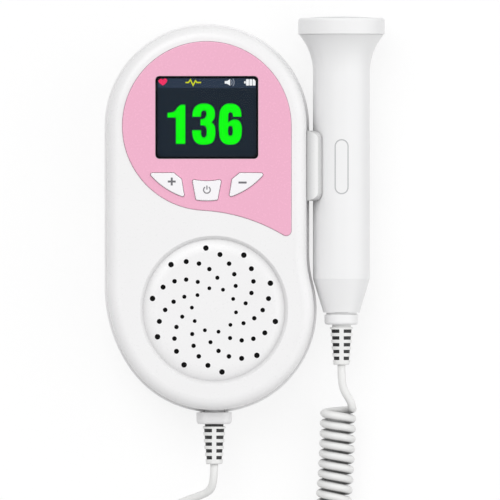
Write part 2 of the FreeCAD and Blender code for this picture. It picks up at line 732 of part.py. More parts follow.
def front_bosses(body):
    """Bosses for the case screws and the board, and the round rib that locates the speaker."""
    case = new_sketch(body, "case_bosses", level="parting")
    for x, y in case_screw_places():
        draw_circle(case, x, y, "case_boss")
        draw_circle(case, x, y, "case_shank + fit_gap")
    pad(body, case, f"{CEILING} - parting + wall / 4")
    board = new_sketch(body, "board_bosses", level=BOARD_TOP)
    for x, y in board_screw_places():
        draw_circle(board, x, y, "board_boss")
        draw_circle(board, x, y, "board_shank + fit_gap")
    pad(body, board, f"board_drop + wall / 4")
    rib = new_sketch(body, "speaker_rib", level=f"{CEILING} - 2 * speaker_rib")
    draw_circle(rib, "bulb_x", "bulb_y", "speaker_radius + run_gap + speaker_rib")
    draw_circle(rib, "bulb_x", "bulb_y", "speaker_radius + run_gap")
    pad(body, rib, f"2 * speaker_rib + wall / 8")


def gland_hole(body, name):
    """The hole for the cable gland, half of it in each housing, through the wall at the lower end."""
    sketch = new_sketch(body, name, "XZ_Plane", level=f"-{UNIT_END} + 1")
    draw_circle(sketch, "gland_x", "parting", "gland_neck + fit_gap")
    pocket(body, sketch, "wall + parting_step + 2")


def rear_housing():
    """Moulded rear shell with the battery compartment, its door opening and the screw posts."""
    body = new_body("rear_housing")
    outside = draw(new_sketch(body, "rear_outline"), unit_outline(0))
    block_feature = pad(body, outside, "parting")
    back = fillet(body, block_feature, rim_edges(block_feature, 0), "back_round")
    fillet(body, back, rim_edges(back, "parting"), "parting_edge")
    inside = draw(new_sketch(body, "rear_inside", level="wall"), unit_outline(size("wall")))
    pocket(body, inside, "parting", forwards=True)
    lip = new_sketch(body, "lip", level="parting - lip_height")
    draw(lip, unit_outline(size("wall - lip_thick")), unit_outline(size("wall")))
    pad(body, lip, "2 * lip_height")
    battery_bay(body)
    rear_posts(body)
    gland_hole(body, "rear_gland_hole")
    notch = new_sketch(body, "jack_notch", "YZ_Plane", level="-half_width - 1")
    half = "(jack_nose + run_gap)"
    low = f"min(parting; {JACK_Z} - {half})"
    draw_box(notch, f"{JACK_Y} - {half}", f"{JACK_Y} + {half}", low, "parting + 2 * lip_height")
    pocket(body, notch, "wall + 2", forwards=True)
    sketch = new_sketch(body, "clip_screw_holes", "YZ_Plane", level="half_width - wall - 1")
    for y in clip_screw_places():
        draw_circle(sketch, y, "clip_screw_z", "clip_shank + fit_gap")
    pocket(body, sketch, "wall + 2", forwards=True)


def battery_bay(body):
    margin = "(door_margin + run_gap)"
    rim = new_sketch(body, "door_rim", level="wall / 2")
    reach = f"({BAY_HALF_WIDTH} + {margin} + bay_side)"
    draw_box(rim, f"-{reach}", reach, f"{BAY_LOW} - {margin} - bay_side", f"bay_high + {margin} + bay_side")
    pad(body, rim, "door_thick + run_gap + door_ledge - wall / 2")
    walls = new_sketch(body, "bay_walls", level="wall / 2")
    side = f"({BAY_HALF_WIDTH} + bay_side)"
    draw_box(walls, f"-{side}", side, f"{BAY_LOW} - bay_side", "bay_high + bay_side")
    pad(body, walls, f"{BAY_HEIGHT} + bay_wall - wall / 2")
    hollow = new_sketch(body, "bay_hollow", level="-1")
    draw_box(hollow, f"-{BAY_HALF_WIDTH}", BAY_HALF_WIDTH, BAY_LOW, "bay_high")
    pocket(body, hollow, f"{BAY_HEIGHT} + 1", forwards=True)
    opening = new_sketch(body, "door_opening", level="-1")
    width = f"({BAY_HALF_WIDTH} + {margin})"
    draw_box(opening, f"-{width}", width, f"{BAY_LOW} - {margin}", f"bay_high + {margin}")
    pocket(body, opening, "door_thick + run_gap + 1", forwards=True)
    slots = new_sketch(body, "hook_slots", level="door_thick - run_gap")
    half = "(hook_width / 2 + run_gap)"
    for mid in ("hook_x", "-hook_x"):
        low, high = f"{DOOR_HIGH} - hook_root - 5 * run_gap", f"{DOOR_HIGH} + hook_length + run_gap"
        draw_box(slots, f"{mid} - {half}", f"{mid} + {half}", low, high)
    pocket(body, slots, "hook_thick + 5 * run_gap", forwards=True)


def rear_posts(body):
    posts = new_sketch(body, "case_posts", level="wall / 2")
    recesses = new_sketch(body, "screw_recesses", level="-1")
    holes = new_sketch(body, "screw_holes", level="-1")
    for x, y in case_screw_places():
        draw_circle(posts, x, y, "case_post")
        draw_circle(recesses, x, y, "case_head + run_gap")
        draw_circle(holes, x, y, "case_shank + run_gap")
    pad(body, posts, "parting - wall / 2")
    pocket(body, recesses, "case_sink + 1", forwards=True)
    pocket(body, holes, "parting + 2", forwards=True)


def battery_door():
    """Lift-out door: two hooks at its upper end, a thumb notch and grip ribs at its lower end."""
    body = new_body("battery_door")
    width = f"({BAY_HALF_WIDTH} + door_margin)"
    plate = draw_box(new_sketch(body, "door_plate"), f"-{width}", width, DOOR_LOW, DOOR_HIGH)
    pad(body, plate, "door_thick")
    hooks = new_sketch(body, "door_hooks", level="door_thick")
    for mid in ("hook_x", "-hook_x"):
        ends = (f"{mid} - hook_width / 2", f"{mid} + hook_width / 2")
        draw_box(hooks, *ends, f"{DOOR_HIGH} - hook_root", f"{DOOR_HIGH} + hook_length")
    pad(body, hooks, "hook_thick")
    rib = new_sketch(body, "door_rib", level="door_thick - run_gap")
    rib_low = f"{BAY_LOW} + rib_inset"
    draw_box(rib, "-rib_half_width", "rib_half_width", rib_low, f"{rib_low} + rib_thick")
    ribs = pad(body, rib, "2 * run_gap")
    reach = f"{BAY_LENGTH} - 3 * rib_inset - rib_thick"
    repeat_along(body, ribs, rib, "V_Axis", reach, size("door_ribs"))
    grip = new_sketch(body, "door_grip", level="-1")
    grip_low = f"{DOOR_LOW} + grip_inset"
    draw_box(grip, "-grip_half_width", "grip_half_width", grip_low, f"{grip_low} + grip_groove")
    grip_cut = pocket(body, grip, "1 + grip_deep", forwards=True)
    repeat_along(body, grip_cut, grip, "V_Axis", "grip_length", size("grip_grooves"))


# Front panel, display and keys -------------------------------------------------------------------


def front_panel():
    """Coloured panel with the display opening and three key openings."""
    body = new_body("front_panel")
    sketch = new_sketch(body, "panel_outline", level=f"{UNIT_DEPTH} - panel_thick")
    draw(sketch, panel_outline(), window_outline(size("fit_gap")))
    draw(sketch, *[key_outline(side, size("key_gap")) for side in (-1, 0, 1)])
    plate = pad(body, sketch, "panel_thick")
    fillet(body, plate, rim_edges(plate, UNIT_DEPTH), "panel_edge")


def display_window():
    body = new_body("display_window")
    sketch = new_sketch(body, "window_outline", level=f"{UNIT_DEPTH} - panel_thick")
    pad(body, draw(sketch, window_outline()), "panel_thick - window_sink")


def lcd_parts():
    """The display module between its foam gasket and the tape that holds it to the board."""
    half_x, low, high = "lcd_half_width", "window_y - lcd_half_height", "window_y + lcd_half_height"
    module_top = f"{CEILING} - gasket_thick"
    module_low = f"{module_top} - lcd_thick"
    frame = block("lcd_tray", (f"-{half_x}", low, module_low), (half_x, high, f"{module_top} - 0.9"))
    glass_high = "window_y + lcd_half_height - 0.6"
    glass_low = "window_y - lcd_half_height + 0.6"
    glass = block(
        "lcd_glass",
        (f"-{half_x} + 3.2", glass_low, f"{module_top} - 0.9"),
        (f"{half_x} - 0.6", glass_high, module_top),
    )
    keep(fuse("lcd_module", frame, glass), "lcd_module")
    ledge_x, ledge_y = "(window_half_width + 0.6)", "(window_half_height + 0.6)"
    rim_x, rim_y = f"({ledge_x} + gasket_width)", f"({ledge_y} + gasket_width)"
    outer = block(
        "gasket_outer",
        (f"-{rim_x}", f"window_y - {rim_y}", module_top),
        (rim_x, f"window_y + {rim_y}", CEILING),
    )
    inner = block(
        "gasket_inner",
        (f"-{ledge_x}", f"window_y - {ledge_y}", f"{module_top} - 1"),
        (ledge_x, f"window_y + {ledge_y}", f"{CEILING} + 1"),
    )
    keep(cut("lcd_gasket", outer, inner), "lcd_gasket")
    tape = block(
        "lcd_mounting_tape",
        (f"-{half_x} + 2", "window_y - lcd_half_height + 2", BOARD_TOP),
        (f"{half_x} - 2", "window_y + lcd_half_height - 2", module_low),
    )
    keep(tape, "lcd_mounting_tape")


def key(name, side, x, y):
    """A key cap with the flange that keeps it in and the foot that presses its switch."""
    body = new_body(name)
    flange_top = f"({CEILING} - fit_gap)"
    growth = size("key_gap + key_flange - run_gap")
    flange = new_sketch(body, f"{name}_flange", level=f"{flange_top} - key_flange")
    pad(body, draw(flange, key_outline(side, growth)), "key_flange")
    cap = new_sketch(body, f"{name}_cap", level=f"{flange_top} - key_flange / 2")
    key_top = f"({UNIT_DEPTH} + key_proud)"
    top = pad(body, draw(cap, key_outline(side)), f"{key_top} - {flange_top} + key_flange / 2")
    fillet(body, top, rim_edges(top, key_top), "key_edge")
    foot_low = f"{BOARD_TOP} + switch_height + stem_stand"
    foot = new_sketch(body, f"{name}_foot", level=foot_low)
    draw_circle(foot, x, y, "stem_radius")
    pad(body, foot, f"{flange_top} - key_flange / 2 - ({foot_low})")


def switch_stem(name, x, y):
    """The moving stem of a switch, guided in the switch body."""
    depth = "(stem_stand + switch_height / 3)"
    stem = cylinder(name, "stem_radius", depth, x, y, f"{BOARD_TOP} + switch_height - switch_height / 3")
    keep(stem, name)


def switch_body(name, x, y):
    half = "switch_side / 2"
    low = (f"{x} - {half}", f"{y} - {half}", BOARD_TOP)
    high = (f"{x} + {half}", f"{y} + {half}", f"{BOARD_TOP} + switch_height")
    floor = f"{BOARD_TOP} + switch_height * 2 / 3 - key_travel - fit_gap"
    well = cylinder(f"{name}_well", "stem_radius + fit_gap", "switch_height", x, y, floor)
    return cut(name, block(f"{name}_block", low, high), well)


def keys_and_switches():
    places = {
        "plus": (-1, "-side_key_x", "side_key_y"),
        "power": (0, "0", "power_key_y"),
        "minus": (1, "side_key_x", "side_key_y"),
    }
    bodies = []
    for name, (side, x, y) in places.items():
        key(f"{name}_key", side, x, y)
        switch_stem(f"{name}_switch_stem", x, y)
        bodies.append(switch_body(f"{name}_switch", x, y))
    group("switch_bodies", bodies)


# Circuit board, speaker, socket and battery ------------------------------------------------------


def main_circuit_board():
    body = new_body("main_circuit_board")
    radius, high, low = size("board_half_width"), size("board_high"), size("board_low")
    turn = math.degrees(math.asin(high / radius))
    outline = Part.Wire([
        line(point(-radius, low), point(radius, low)),
        line(point(radius, low), point(radius, 0)),
        arc((0, 0), radius, 0, turn),
        line(polar((0, 0), radius, turn), polar((0, 0), radius, 180 - turn)),
        arc((0, 0), radius, 180 - turn, 180),
        line(point(-radius, 0), point(-radius, low)),
    ])
    sketch = draw(new_sketch(body, "board_outline", level=BOARD_BOTTOM), outline)
    for x, y in board_screw_places():
        draw_circle(sketch, x, y, "board_shank + fit_gap")
    pad(body, sketch, "board_thick")


def board_chips():
    """The larger components on the back of the board: x, y, length, width and height of each."""
    chips = {
        "processor": (8.0, 4.0, 10.0, 10.0, 1.4),
        "sound_amplifier": (-8.0, -27.0, 6.0, 5.0, 1.4),
        "signal_amplifier": (9.0, -16.0, 5.0, 4.0, 1.4),
        "crystal": (17.5, 6.0, 3.2, 2.5, 0.8),
        "power_coil": (-20.0, 10.0, 7.0, 7.0, 3.6),
    }
    solids = []
    for name, (x, y, length, width, height) in chips.items():
        low = (x - length / 2, y - width / 2, f"{BOARD_BOTTOM} - {height}")
        high = (x + length / 2, y + width / 2, BOARD_BOTTOM)
        solids.append(block(name, low, high))
    group("board_components", solids)


def screw(name, x, y, z, direction, head, head_thick, shank, length):
    """A pan-head screw with a slot: z is the seat of its head, and it points along direction."""
    back = direction * -1
    top = cylinder(f"{name}_head", head, head_thick, x, y, z, back)
    stem = cylinder(f"{name}_shank", shank, length, x, y, z, direction)
    whole = fuse(f"{name}_blank", top, stem)
    slot = doc.addObject("Part::Box", f"{name}_slot")
    seat = Vector(size(x), size(y), size(z))
    turn = Rotation(Vector(0, 0, 1), back)
    for prop, expression in (("Length", f"2.2 * {head}"), ("Width", "driver_slot"), ("Height", head_thick)):
        bind(slot, prop, expression)
    corner = Vector(-1.1 * size(head), -size("driver_slot") / 2, 0.55 * size(head_thick))
    slot.Placement = Placement(seat + turn.multVec(corner), turn)
    return cut(name, whole, slot)


def screws():
    up = Vector(0, 0, 1)
    case = [
        screw(f"case_screw_{n}", x, y, "case_sink", up,
              "case_head", "head_thick", "case_shank", "case_length")
        for n, (x, y) in enumerate(case_screw_places())
    ]
    group("case_screws", case)
    board = [
        screw(f"board_screw_{n}", x, y, BOARD_BOTTOM, up,
              "board_head", "board_head_thick", "board_shank", "board_length")
        for n, (x, y) in enumerate(board_screw_places())
    ]
    group("board_screws", board)
    clip = [
        screw(f"clip_screw_{n}", "half_width - wall", y, "clip_screw_z", Vector(1, 0, 0),
              "clip_head", "clip_head_thick", "clip_shank", "wall + clip_grip")
        for n, y in enumerate(clip_screw_places())
    ]
    group("clip_screws", clip)


def speaker():
    """Dust mesh, steel basket, paper cone and magnet, all turned about the middle of the grille."""
    roof = size(CEILING)
    top = roof - size("mesh_thick")
    radius, magnet, depth = size("speaker_radius"), size("magnet_radius"), size("speaker_depth")
    steel, rim, paper = size("basket_thick"), size("basket_rim"), size("cone_thick")
    back = top - depth
    plate = back + 0.3 * depth
    throat, hole, seat = magnet + 2.5 * steel, magnet - 5 * steel, radius - 1.5 * rim
    mesh = chain((0, top), (radius, top), (radius, roof), (0, roof))
    basket = chain(
        (hole, plate),
        (throat, plate),
        (radius - 2 * steel, top - rim),
        (radius, top - rim),
        (radius, top),
        (radius - rim, top),
        (radius - rim, top - 0.75 * steel),
        (radius - rim - 0.75 * steel, top - steel),
        (throat - steel / 2, plate + steel),
        (hole, plate + steel),
    )
    cap = size("cone_cap")
    cap_low, cap_high = plate + 0.18 * depth, plate + 0.33 * depth
    cone = chain(
        (0, cap_high),
        (cap_middle(cap, cap_high, cap_low), (cap, cap_low)),
        (seat - 4.5 * paper, top - 3 * paper),
        ((seat - 2 * paper, top - 2 * paper), (seat, top - 2 * paper)),
        (seat, top - paper),
        ((seat - 2.5 * paper, top - 0.9 * paper), (seat - 5 * paper, top - 2.2 * paper)),
        (cap, cap_low + paper),
        (cap_middle(cap, cap_high + paper, cap_low + paper), (0, cap_high + paper)),
    )
    disc_profile = chain((0, back), (magnet, back), (magnet, plate), (0, plate))
    profiles = {
        "speaker_mesh": mesh,
        "speaker_basket": basket,
        "speaker_cone": cone,
        "speaker_magnet": disc_profile,
    }
    for name, profile in profiles.items():
        body = new_body(name)
        revolve(body, draw(new_sketch(body, f"{name}_profile", "XZ_Plane"), profile))
        place(body, "bulb_x", "bulb_y", 0)


def headphone_jack():
    """3.5 mm socket under the board, with its nose in the left wall."""
    wall_face = "-half_width + parting_step + side_wall"
    shell_box = block(
        "jack_shell",
        (wall_face, f"{JACK_Y} - jack_width / 2", f"{BOARD_BOTTOM} - jack_height"),
        (f"{wall_face} + jack_length", f"{JACK_Y} + jack_width / 2", BOARD_BOTTOM),
    )
    along = Vector(1, 0, 0)
    nose_start = "-half_width + parting_step"
    nose = cylinder("jack_nose_part", "jack_nose", "side_wall + 0.5", nose_start, JACK_Y, JACK_Z, along)
    depth = "side_wall + jack_length - jack_floor"
    bore = cylinder("jack_bore_part", "jack_bore", depth, f"{nose_start} - 0.5", JACK_Y, JACK_Z, along)
    keep(cut("headphone_jack", fuse("jack_solid", shell_box, nose), bore), "headphone_jack")


def battery_parts():
    """Two cells side by side, turned opposite ways, between their contact plates and springs."""
    high = "(bay_high - contact_thick - fit_gap)"
    low = f"({BAY_LOW} + contact_thick + fit_gap)"
    up, down = Vector(0, 1, 0), Vector(0, -1, 0)
    cell("left_battery_cell", f"-{CELL_X}", f"{high} - cell_length", up)
    cell("right_battery_cell", CELL_X, f"{low} + cell_length", down)
    reach = f"({CELL_X} + cell_radius - contact_inset)"
    z_low, z_high = f"{CELL_Z} - cell_radius + contact_inset", f"{CELL_Z} + cell_radius - contact_inset"
    split, back = "contact_split", "bay_high - contact_thick"
    plates = [
        block("left_contact", (f"-{reach}", back, z_low), (f"-{split}", "bay_high", z_high)),
        block("right_contact", (split, back, z_low), (reach, "bay_high", z_high)),
        block("bridge_contact", (f"-{reach}", BAY_LOW, z_low), (reach, f"{BAY_LOW} + contact_thick", z_high)),
    ]
    group("battery_contacts", plates)
    battery_spring("left_battery_spring", f"-{CELL_X}", f"{BAY_LOW} + contact_thick", up)
    battery_spring("right_battery_spring", CELL_X, "bay_high - contact_thick", down)


def cell(name, x, y, direction):
    body = cylinder(f"{name}_can", "cell_radius", "cell_length - nub_length", x, y, CELL_Z, direction)
    nub = cylinder(f"{name}_nub", "nub_radius", "cell_length", x, y, CELL_Z, direction)
    keep(fuse(name, body, nub), name)


def battery_spring(name, x, y, direction):
    """A conical spring, wide at its plate and narrow at the cell; its wire has six flat sides."""
    body = new_body(name)
    length = "spring_room - 2 * contact_thick - 3 * fit_gap - 2 * spring_wire"
    wire, middle = size("spring_wire"), (size("cell_radius - 2.2"), size("spring_wire"))
    corners = [polar(middle, wire, 60 * n + 30) for n in range(6)]
    sketch = new_sketch(body, f"{name}_wire", "XZ_Plane")
    draw(sketch, Part.makePolygon(corners + corners[:1]))
    coil = body.newObject("PartDesign::AdditiveHelix", f"{name}_coil")
    coil.Profile = sketch
    coil.ReferenceAxis = (sketch, ["V_Axis"])
    coil.Mode = "height-turns-angle"
    bind(coil, "Height", length)
    coil.Turns = 2.5
    coil.Angle = -25
    body.Placement = Placement(Vector(), Rotation(Vector(0, 0, 1), direction))
    place(body, x, y, CELL_Z)


# Cord, its glands and strain reliefs -------------------------------------------------------------


def strain_relief(name, x, y, z):
    """Tapered boot with rows of slots, crossed by a spine in front and one behind."""
    body = new_body(name)
    base, tip, deep, length = (size(v) for v in ("boot_base", "boot_tip", "boot_deep", "boot_length"))
    slot, first, pitch = size("boot_slot"), size("boot_first"), size("boot_pitch")
    neck, groove_end, edge = size("boot_neck"), -size("boot_groove"), 0.3

    def radius(distance):
        return base + (tip - base) * distance / length

    shoulder = radius(size("boot_groove"))
    steps = [(neck, 0), (neck, groove_end), (shoulder - edge, groove_end)]
    steps.append(((shoulder - 0.3 * edge, groove_end - 0.3 * edge), (shoulder, groove_end - edge)))
    for number in range(int(size("boot_slots"))):
        start = first + number * pitch - slot / 2
        end = start + slot
        floor = (radius(start) - deep, -start), (radius(end) - deep, -end)
        steps += [(radius(start), -start), *floor, (radius(end), -end)]
    steps += [(tip, -length + edge), (tip - edge, -length), (0, -length)]
    revolve(body, draw(new_sketch(body, f"{name}_profile"), chain((0, 0), *steps)))
    spine = new_sketch(body, f"{name}_spine", "YZ_Plane", level="-boot_spine / 2")
    high, low = groove_end - edge, -length + edge
    taper = [(high, shoulder), (low, tip), (low, -tip), (high, -shoulder)]
    pad(body, draw(spine, chain(*taper)), "boot_spine")
    place(body, x, y, z)


def unit_gland():
    """Flat-sided collar outside the wall, a round neck through it and a flange inside."""
    body = new_body("unit_gland")
    half_width, half_depth = size("gland_half_width"), size("gland_half_depth")
    collar = new_sketch(body, "collar_outline", "XZ_Plane")
    draw(collar, rectangle(-half_width, -half_depth, half_width, half_depth, 0.7 * half_depth))
    solid = pad(body, collar, "gland_length")
    doc.recompute()
    far = -size("gland_length")
    ends = edge_names(solid.Shape, lambda e: abs(e.BoundBox.YMin - far) + abs(e.BoundBox.YMax - far) < 1e-4)
    fillet(body, solid, ends, "gland_edge")
    seat = new_sketch(body, "collar_seat", "XZ_Plane")
    seat_half, seat_depth = half_width - size("gland_edge"), half_depth - size("2 * fit_gap")
    draw(seat, rectangle(-seat_half, -seat_depth, seat_half, seat_depth, 0.6 * half_depth))
    pad(body, seat, "parting_step + 1", reversed_way=True)
    level = "-2 * gland_half_depth"
    saddle = new_sketch(body, "wall_saddle", level=level, right="-gland_x", up=f"-{UNIT_END}")
    pocket(body, draw(saddle, unit_outline(-size("fit_gap") / 2)), "4 * gland_half_depth", forwards=True)
    neck_sketch = new_sketch(body, "gland_neck", "XZ_Plane", level="gland_length / 2")
    neck = draw_circle(neck_sketch, 0, 0, "gland_neck")
    pad(body, neck, "gland_length / 2 + side_wall + parting_step + 2 * run_gap", reversed_way=True)
    flange = new_sketch(body, "gland_flange", "XZ_Plane", level="-side_wall - parting_step - 2 * run_gap")
    pad(body, draw_circle(flange, 0, 0, "gland_flange"), "flange_thick", reversed_way=True)
    place(body, "gland_x", UNIT_END, "parting")


def tube_path(route, radius):
    """Straight runs joined by arcs that touch both runs, with the arcs' radii."""
    points = [Vector(*p) for p in route]
    edges, radii, here = [], [], points[0]
    for before, corner, after in zip(points, points[1:], points[2:]):
        to_corner, from_corner = corner - before, after - corner
        half_turn = to_corner.getAngle(from_corner) / 2
        trim = ARC_SHARE * min(to_corner.Length, from_corner.Length)
        bend = trim / math.tan(half_turn)
        start = corner - to_corner.normalize() * trim
        end = corner + from_corner.normalize() * trim
        inward = (start + end) * 0.5 - corner
        depth = bend / math.cos(half_turn) - bend
        middle = corner + inward.normalize() * depth
        edges += [line(here, start), Part.Arc(start, middle, end).toShape()]
        radii.append(bend)
        here = end
    edges.append(line(here, points[-1]))
    return Part.Wire(edges), radii


def tube(name, route, radius):
    """A round tube along a route, as a plain solid."""
    path, radii = tube_path(route, radius)
    start, towards = Vector(*route[0]), Vector(*route[1]) - Vector(*route[0])
    ring = Part.Wire([Part.Circle(start, towards, radius).toShape()])
    solid = Part.Solid(path.makePipeShell([ring], True, False))
    section = math.pi * radius**2
    error = abs(abs(solid.Volume) / (section * path.Length) - 1)
    listed = ", ".join(f"{r:.1f}" for r in radii)
    print(f"{name}: length {path.Length:.1f}, volume error {error:.4f}, bend radii {listed}")
    if error > MAX_VOLUME_ERROR:
        raise RuntimeError(f"{name} has the wrong volume")
    feature = doc.addObject("Part::Feature", name)
    feature.Shape = solid
    keep(feature, name)


def cord():
    tube("unit_lead", UNIT_LEAD_ROUTE, size("cord_radius"))
    tube("curly_cord", CURLY_ROUTE, size("curly_radius"))
    tube("probe_lead", PROBE_LEAD_ROUTE, size("cord_radius"))


# Probe -------------------------------------------------------------------------------------------


def place_on_probe(body):
    place(body, PROBE_X, "probe_face_y", "probe_z")


def handle_profile():
    """Half section of the handle's shell, as distance from the axis and from the probe's face."""
    grip, crease, wall = size("grip_radius"), size("crease_radius"), size("probe_wall")
    start, flare = size("head_length + 0.1"), size("flare_end")
    taper, end, tail = size("taper_start"), size("handle_end"), size("tail_radius")
    rise, run = crease - grip, flare - start
    sweep = (rise**2 + run**2) / (2 * rise)
    centre = (grip + sweep, -flare)

    def on_flare(radius, distance):
        return (centre[0] - math.sqrt(radius**2 - (flare - distance) ** 2), -distance)

    middle = (start + flare) / 2
    inner = sweep + wall
    hole, lip = size("collar_neck + fit_gap"), size("tail_wall")
    return chain(
        on_flare(sweep, start),
        (on_flare(sweep, middle), (grip, -flare)),
        (grip, -taper),
        (tail, -end),
        (hole, -end),
        (hole, -end + lip),
        (tail - wall / 2, -end + lip),
        (grip - wall, -taper),
        (grip - wall, -flare),
        (on_flare(inner, middle), on_flare(inner, start)),
    )


def probe_handle():
    """Two half shells that meet in the plane of the axis; the rear one carries the board."""
    for name, backwards in (("probe_handle_front", True), ("probe_handle_rear", False)):
        body = new_body(name)
        profile = draw(new_sketch(body, f"{name}_profile"), handle_profile())
        revolve(body, profile, angle=180, reversed_way=backwards)
        if not backwards:
            posts = new_sketch(body, "board_posts", level="-grip_radius + probe_wall / 2")
            half = "probe_board_half_width / 2"
            for distance in ("flare_end + 6", "flare_end + probe_board_length - 8"):
                draw_box(posts, f"-{half}", half, f"-({distance}) - probe_wall", f"-({distance})")
            pad(body, posts, "grip_radius - probe_wall / 2 - board_thick / 2")
        place_on_probe(body)


def probe_head():
    """The head ring, with a spigot into the handle and a seat for the acoustic window."""
    radius, length, edge = size("head_radius"), size("head_length"), size("head_edge")
    seat, thick = size("face_radius + fit_gap"), size("face_thick")
    spigot, reach, wall = (size(v) for v in ("spigot_radius", "spigot_length", "spigot_wall"))
    bore = size("crystal_radius + run_gap")
    profile = chain(
        (radius, -length),
        (radius, -edge),
        ((radius - 0.29 * edge, -0.29 * edge), (radius - edge, 0)),
        (seat, 0),
        (seat, -thick),
        (bore, -thick),
        (bore, -length + wall),
        (spigot - wall, -length + wall),
        (spigot - wall, -length - reach),
        (spigot, -length - reach),
        (spigot, -length),
    )
    body = new_body("probe_head")
    revolve(body, draw(new_sketch(body, "head_profile"), profile))
    place_on_probe(body)


def probe_window():
    """The acoustic window, slightly domed, in front of the crystals."""
    radius, thick, rise = size("face_radius"), size("face_thick"), size("face_dome")
    dome = chain(
        (0, -thick),
        (radius, -thick),
        (radius, 0),
        (cap_middle(radius, rise, 0), (0, rise)),
    )
    body = new_body("probe_window")
    revolve(body, draw(new_sketch(body, "window_profile"), dome))
    place_on_probe(body)


def probe_crystals():
    """Two half-round crystals, one sends and one receives, on a damping block."""
    radius, gap = size("crystal_radius"), size("crystal_gap")
    turn = math.degrees(math.asin(gap / radius))
    for name, side in (("sending_crystal", 1), ("receiving_crystal", -1)):
        body = new_body(name)
        middle = 90 - side * 90
        ends = [polar((0, 0), radius, middle - 90 + turn), polar((0, 0), radius, middle + 90 - turn)]
        outline = Part.Wire([arc((0, 0), radius, middle - 90 + turn, middle + 90 - turn), line(*ends)])
        sketch = new_sketch(body, f"{name}_outline", "XZ_Plane", level="face_thick")
        pad(body, draw(sketch, outline), "crystal_thick")
        place_on_probe(body)
    body = new_body("backing_block")
    sketch = new_sketch(body, "backing_outline", "XZ_Plane", level="face_thick + crystal_thick")
    pad(body, draw_circle(sketch, 0, 0, "crystal_radius"), "backing_thick")
    place_on_probe(body)


def probe_circuit_board():
    body = new_body("probe_circuit_board")
    sketch = new_sketch(body, "probe_board_outline", level="-board_thick / 2")
    half = "probe_board_half_width"
    draw_box(sketch, f"-{half}", half, "-flare_end - probe_board_length", "-flare_end")
    pad(body, sketch, "board_thick")
    place_on_probe(body)


def probe_collar():
    """Turned collar with a neck into the handle and a flange inside it."""
    radius, start, length = size("collar_radius"), size("collar_start"), size("collar_length")
    neck, flange, seat = size("collar_neck"), size("collar_flange"), -size("handle_end + fit_gap")
    inside = -size("handle_end - tail_wall - fit_gap")
    groove_radius, edge, top = radius - 0.6, 0.3, inside + size("flange_thick")
    low = -start - length
    profile = chain(
        (0, top),
        (flange, top),
        (flange, inside),
        (neck, inside),
        (neck, seat),
        (groove_radius, seat),
        (groove_radius, -start),
        (radius - edge, -start),
        ((radius - 0.3 * edge, -start - 0.3 * edge), (radius, -start - edge)),
        (radius, low + 1.0),
        ((radius - 0.29, low + 0.29), (radius - 1.0, low)),
        (0, low),
    )
    body = new_body("probe_collar")
    revolve(body, draw(new_sketch(body, "collar_profile"), profile))
    place_on_probe(body)


def clip_screw_places():
    """Along the unit, about the middle of the clip."""
    middle = "clip_low + clip_length / 2"
    return [f"{middle} - clip_screw_pitch / 2", f"{middle} + clip_screw_pitch / 2"]


def probe_clip():
    """Half-round cradle on the monitor's side: a front lip, and a wing that reaches under the probe."""
    body = new_body("probe_clip")
    centre, inner = (size(PROBE_X), size("probe_z")), size(CLIP_RADIUS)
    outer, angle = inner + size("clip_thick"), size("clip_angle")
    side = size("half_width")
    front_side = side - size("parting_step") + size("fit_gap")
    joint, foot = size("parting"), size("clip_foot")
    lip_tip, lip_inner = polar(centre, outer, angle), polar(centre, inner, angle)
    wing_tip, wing_inner = polar(centre, outer, angle + 180), polar(centre, inner, angle + 180)
    foot_point = polar(centre, outer, foot)
    low = foot_point.y - 0.2
    profile = Part.Wire([
        line(point(side, low), point(side, joint)),
        line(point(side, joint), point(front_side, joint + 0.4)),
        line(point(front_side, joint + 0.4), point(front_side, lip_tip.y + 0.9)),
        line(point(front_side, lip_tip.y + 0.9), lip_tip),
        line(lip_tip, lip_inner),
        arc(centre, inner, angle, angle + 180),
        line(wing_inner, wing_tip),
        arc(centre, outer, angle + 180, foot),
        line(foot_point, point(side, low)),
    ])
    sketch = new_sketch(body, "clip_profile", "XZ_Plane", level="-clip_low")
    solid = pad(body, draw(sketch, profile), "clip_length", reversed_way=True)
    doc.recompute()
    tip = Vector((lip_tip.x + lip_inner.x) / 2, 0, (lip_tip.y + lip_inner.y) / 2)

    def at_tip(edge):
        middle = edge.CenterOfMass
        return math.hypot(middle.x - tip.x, middle.z - tip.z) < 0.1 and edge.Length < 1.1 * size("clip_thick")

    fillet(body, solid, edge_names(solid.Shape, at_tip), "clip_corner")
    holes = new_sketch(body, "clip_pilot_holes", "YZ_Plane", level="half_width - 1")
    for y in clip_screw_places():
        draw_circle(holes, y, "clip_screw_z", "clip_shank + fit_gap / 2")
    pocket(body, holes, "1 + clip_grip + fit_gap * 2", forwards=True)


# Checks and export -------------------------------------------------------------------------------


def check_document():
    """Stops if any object failed, any sub-part is unsound, or any cut removed nothing."""
    doc.recompute()
    for thing in doc.Objects:
        if {"Invalid", "Error"} & set(thing.State):
            raise RuntimeError(f"{thing.Label} failed: {thing.State}")
        if thing.isDerivedFrom("PartDesign::Pocket") or thing.isDerivedFrom("PartDesign::Groove"):
            if thing.BaseFeature.Shape.Volume - thing.Shape.Volume < 1e-3:
                raise RuntimeError(f"{thing.Label} cuts nothing")
    for node in nodes:
        if node.Shape.isNull() or not node.Shape.isValid() or not node.Shape.Solids:
            raise RuntimeError(f"{node.Label} is not a sound solid")


def export():
    os.makedirs("parts", exist_ok=True)
    for node in nodes:
        node.Shape.exportStep(f"parts/{node.Label}.step")
    print(f"{len(nodes)} sub-parts written")


